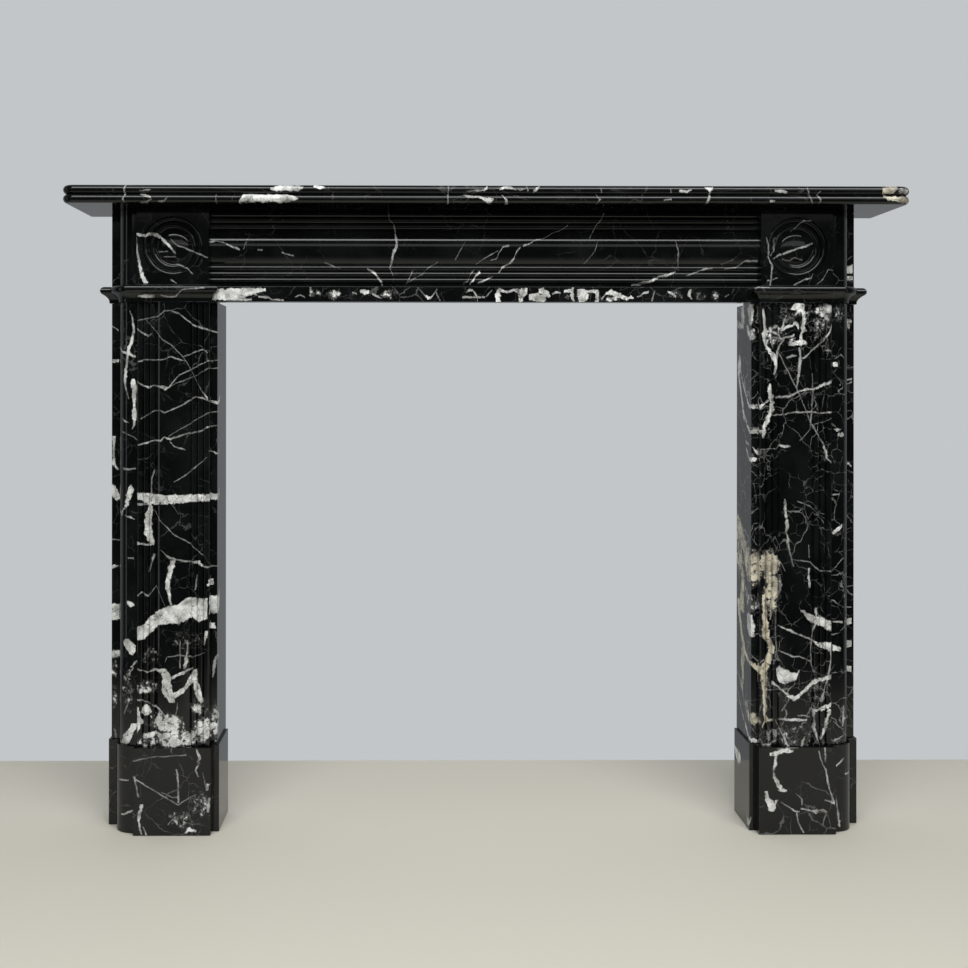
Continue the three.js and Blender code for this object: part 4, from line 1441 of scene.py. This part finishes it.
class MANTEL_OT_capitals(bpy.types.Operator):
    """Models the capitals, whose moulding breaks round the panel, the post and the slip"""

    bl_idname = "mantel.capitals"
    bl_label = "Capitals"

    def execute(self, context):
        moulding = context.scene.mantel_mouldings
        joint, behind, reach = 0.0003, 0.3, 0.1
        for word, side in SIDES.items():
            node = f"{word}_capital"
            low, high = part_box(node)
            block_low, block_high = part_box(f"{word}_corner_block")
            post_low, post_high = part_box(f"{word}_jamb_corner_post")
            slip_low, slip_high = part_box(f"{word}_jamb_side_slip")
            profile = capital_profile(high.z - low.z + joint)
            profile[-1] = (profile[-1][0], high.z - low.z)
            inside = (block_low.x + block_high.x) / 2
            radius = post_high.x - post_low.x - moulding.post_flat
            post_outer = post_high.x if side > 0 else post_low.x
            slip_outer = slip_high.x if side > 0 else slip_low.x
            bodies = [
                (block_low.x, block_high.x, block_low.y, 0.0),
                (min(inside, post_outer), max(inside, post_outer), post_low.y, radius),
                (min(inside, slip_outer), max(inside, slip_outer), slip_low.y, 0.0),
            ]
            whole = None
            for left, right, front, round_corner in bodies:
                body = moulded_body(left, right, front, WALL_Y + behind, low.z, profile, round_corner, side)
                if whole is None:
                    whole = body
                else:
                    cut_or_join(whole, body, "UNION")
            whole.name = whole.data.name = piece_name(node)
            beyond = cube("beyond_wall", (low.x - reach, WALL_Y, low.z - reach),
                          (high.x + reach, WALL_Y + 2 * behind, high.z + reach))
            cut_or_join(whole, beyond, "DIFFERENCE")
            inner = block_low.x if side > 0 else block_high.x
            left, right = sorted((inner, inner - side * reach))
            seat = cube("lintel_seat", (left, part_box("lintel_band")[0].y - joint, low.z - reach),
                        (right, WALL_Y + behind, high.z + reach))
            cut_or_join(whole, seat, "DIFFERENCE")
            settle(whole, smooth_angle=38)
            finish_piece(whole, node)
        return {"FINISHED"}


def moulded_body(left, right, front, back, bottom, profile, round_corner, side):
    """A body with a moulded edge all round: its plan, with one front corner rounded where asked, is
    extruded up and resized level by level."""
    deselect_all()
    middle_x, middle_y = (left + right) / 2, (front + back) / 2
    bpy.ops.mesh.primitive_plane_add(size=1.0, location=(middle_x, middle_y, bottom))
    body = bpy.context.object
    body.scale = (right - left, back - front, 1)
    bpy.ops.object.transform_apply(location=True, rotation=True, scale=True)
    bpy.ops.object.mode_set(mode="EDIT")
    if round_corner:
        outer = right if side > 0 else left
        pick(body, "VERT", lambda v: near(v.co.x, outer) and near(v.co.y, front))
        bpy.ops.mesh.bevel(offset=round_corner, segments=ROUND_STEPS, profile=0.5, affect="VERTICES")
        hub = Vector((outer - side * round_corner, front + round_corner, bottom))
        spans = [round_corner, round_corner]
    else:
        hub = Vector((middle_x, middle_y, bottom))
        spans = [(right - left) / 2, (back - front) / 2]
    bpy.ops.mesh.select_all(action="SELECT")
    over, height = 0.0, 0.0
    for number, (next_over, next_height) in enumerate(profile):
        if number:
            bpy.ops.mesh.extrude_region_move(TRANSFORM_OT_translate={"value": (0, 0, next_height - height)})
        sizes = [(span + next_over) / (span + over) for span in spans]
        bpy.ops.transform.resize(value=(sizes[0], sizes[1], 1), center_override=hub)
        over, height = next_over, next_height
    bpy.ops.mesh.select_all(action="SELECT")
    bpy.ops.mesh.normals_make_consistent(inside=False)
    bpy.ops.object.mode_set(mode="OBJECT")
    return body


def place_lamp(name, place, target, size, radiance, mirrored=True):
    """A rectangular softbox that looks at a target."""
    lamp = bpy.data.lights.new(name, "AREA")
    lamp.shape = "RECTANGLE"
    lamp.size, lamp.size_y = size
    lamp.energy = radiance * math.pi * size[0] * size[1]
    obj = bpy.data.objects.new(name, lamp)
    obj.location = place
    obj.rotation_euler = (target - place).to_track_quat("-Z", "Y").to_euler()
    obj.visible_camera = False
    obj.visible_glossy = mirrored
    bpy.context.scene.collection.objects.link(obj)


def place_camera(scene, studio):
    """Sets the camera, level but for a slight roll, and shifts its picture to the piece."""
    sensor = 36.0
    data = bpy.data.cameras.new("camera")
    data.sensor_width = sensor
    data.lens = sensor * studio.focal_pixels / studio.image_pixels
    centre = studio.image_pixels / 2
    data.shift_x = (centre - studio.level_pixel[0]) / studio.image_pixels
    data.shift_y = (studio.level_pixel[1] - centre) / studio.image_pixels
    camera = bpy.data.objects.new("camera", data)
    camera.location = studio.camera_place
    camera.rotation_euler = (math.pi / 2, -studio.camera_roll, -studio.camera_turn)
    scene.collection.objects.link(camera)
    scene.camera = camera


def lay_floor(studio):
    """Lays the plain floor, which polished faces see grow dark away from the piece."""
    behind, half_width, gap = 0.35, 2.2, 0.0006
    piece_half_width, bright_reach, dark_reach = 0.7, 0.5, 1.5
    dullness = 0.6
    front, back = -studio.floor_depth, WALL_Y + behind
    deselect_all()
    bpy.ops.mesh.primitive_plane_add(size=1.0)
    floor = bpy.context.object
    floor.name = "floor"
    floor.scale = (2 * half_width, back - front, 1)
    floor.location = (0, (front + back) / 2, -gap)
    bpy.ops.object.transform_apply(location=True, rotation=True, scale=True)
    material = bpy.data.materials.new("floor")
    material.use_nodes = True
    g = Graph(material.node_tree)
    place = g.add("ShaderNodeTexCoord").outputs["Object"]
    parts = g.add("ShaderNodeSeparateXYZ", {"Vector": place}).outputs
    outside = g.maths("SUBTRACT", g.maths("ABSOLUTE", parts["X"]), piece_half_width)
    offset = g.add("ShaderNodeCombineXYZ", {"X": g.maths("MAXIMUM", outside, 0.0), "Y": parts["Y"]})
    away = g.vector("LENGTH", offset.outputs["Vector"])
    mirrored = g.add("ShaderNodeLightPath").outputs["Is Glossy Ray"]
    dark = g.maths("MULTIPLY", mirrored, g.fade(away, bright_reach, dark_reach))
    shader = material.node_tree.nodes["Principled BSDF"]
    g.feed(shader.inputs["Base Color"], g.blend(dark, (*studio.floor, 1), (*studio.room, 1)))
    g.feed(shader.inputs["Roughness"], dullness)
    floor.data.materials.append(material)


def light_world(scene, studio):
    """Makes the world pale behind the piece and dim in front, where only the camera sees it pale too."""
    room_side, backdrop_side = 0.03, 0.3
    world = bpy.data.worlds.new("studio")
    world.use_nodes = True
    g = Graph(world.node_tree)
    direction = g.add("ShaderNodeTexCoord").outputs["Generated"]
    ahead = g.add("ShaderNodeSeparateXYZ", {"Vector": direction}).outputs["Y"]
    path = g.add("ShaderNodeLightPath").outputs
    pale = g.maths("MAXIMUM", g.fade(ahead, room_side, backdrop_side), path["Is Camera Ray"])
    strength = g.maths("MULTIPLY_ADD", path["Is Glossy Ray"], studio.wall_sheen - 1.0, 1.0)
    background = world.node_tree.nodes["Background"]
    g.feed(background.inputs["Color"], g.blend(pale, (*studio.room, 1), (*studio.backdrop, 1)))
    g.feed(background.inputs["Strength"], strength)
    scene.world = world


def place_lamps(studio):
    """Sets the key and two panels for the polished faces to mirror, and a fill that they don't mirror."""
    target_depth, target_height = 0.13, 1.15
    lowest, highest = math.radians(34.5), math.radians(58)
    key_reach, key_width, key_shift = 2.9, 3.8, 0.05
    panel_reach, panel_rise, panel_size = 4.2, math.radians(14.4), (7.0, 0.75)
    left_place, left_target, left_size = Vector((-3.15, -0.78, 1.1)), Vector((-0.65, 0, 1.0)), (0.34, 2.6)
    fill_place, fill_target, fill_size = Vector((0.2, -3.6, 2.6)), Vector((0, 0, 0.6)), (4.0, 2.5)
    eye = Vector((0, WALL_Y - target_depth, target_height))
    key_rise = (lowest + highest) / 2
    key_depth = 2 * key_reach * math.tan((highest - lowest) / 2)
    key_place = eye + key_reach * Vector((key_shift, -math.cos(key_rise), math.sin(key_rise)))
    panel_place = eye + Vector((0, -panel_reach, panel_reach * math.tan(panel_rise)))
    place_lamp("key", key_place, eye, (key_width, key_depth), studio.key)
    place_lamp("front_panel", panel_place, eye, panel_size, studio.panel)
    place_lamp("left_panel", left_place, left_target, left_size, studio.panel)
    place_lamp("fill", fill_place, fill_target, fill_size, studio.fill, mirrored=False)


class MANTEL_OT_stage(bpy.types.Operator):
    """Sets the camera, the plain pale floor and the soft light"""

    bl_idname = "mantel.stage"
    bl_label = "Stage"

    def execute(self, context):
        studio = context.scene.mantel_studio
        scene = context.scene
        place_camera(scene, studio)
        lay_floor(studio)
        light_world(scene, studio)
        place_lamps(studio)
        scene.view_settings.view_transform = "Standard"
        return {"FINISHED"}


class MANTEL_PT_panel(bpy.types.Panel):
    """Lists the steps that make the chimneypiece"""

    bl_idname = "MANTEL_PT_panel"
    bl_label = "Chimneypiece"
    bl_space_type = "VIEW_3D"
    bl_region_type = "UI"
    bl_category = "Chimneypiece"

    def draw(self, context):
        for operator in OPERATORS:
            self.layout.operator(operator.bl_idname)
        for settings in (context.scene.mantel_mouldings, context.scene.mantel_stone,
                         context.scene.mantel_studio):
            box = self.layout.box()
            for name in settings.bl_rna.properties.keys():
                if name not in ("rna_type", "name"):
                    box.prop(settings, name)


OPERATORS = (
    MANTEL_OT_stage, MANTEL_OT_shelf, MANTEL_OT_frieze_panel, MANTEL_OT_lintel_band,
    MANTEL_OT_corner_blocks, MANTEL_OT_capitals, MANTEL_OT_jamb_panels, MANTEL_OT_corner_posts,
    MANTEL_OT_side_slips, MANTEL_OT_returns, MANTEL_OT_plinth_blocks,
)
SETTINGS = (MouldingSettings, StoneSettings, StudioSettings)


def register():
    for item in (*SETTINGS, *OPERATORS, MANTEL_PT_panel):
        bpy.utils.register_class(item)
    bpy.types.Scene.mantel_mouldings = bpy.props.PointerProperty(type=MouldingSettings)
    bpy.types.Scene.mantel_stone = bpy.props.PointerProperty(type=StoneSettings)
    bpy.types.Scene.mantel_studio = bpy.props.PointerProperty(type=StudioSettings)


def unregister():
    del bpy.types.Scene.mantel_mouldings
    del bpy.types.Scene.mantel_stone
    del bpy.types.Scene.mantel_studio
    for item in reversed((*SETTINGS, *OPERATORS, MANTEL_PT_panel)):
        bpy.utils.unregister_class(item)


def main():
    register()
    bpy.ops.mantel.stage()
    bpy.ops.mantel.shelf()
    bpy.ops.mantel.frieze_panel()
    bpy.ops.mantel.lintel_band()
    bpy.ops.mantel.corner_blocks()
    bpy.ops.mantel.capitals()
    bpy.ops.mantel.jamb_panels()
    bpy.ops.mantel.corner_posts()
    bpy.ops.mantel.side_slips()
    bpy.ops.mantel.returns()
    bpy.ops.mantel.plinth_blocks()


if __name__ == "__main__":
    main()
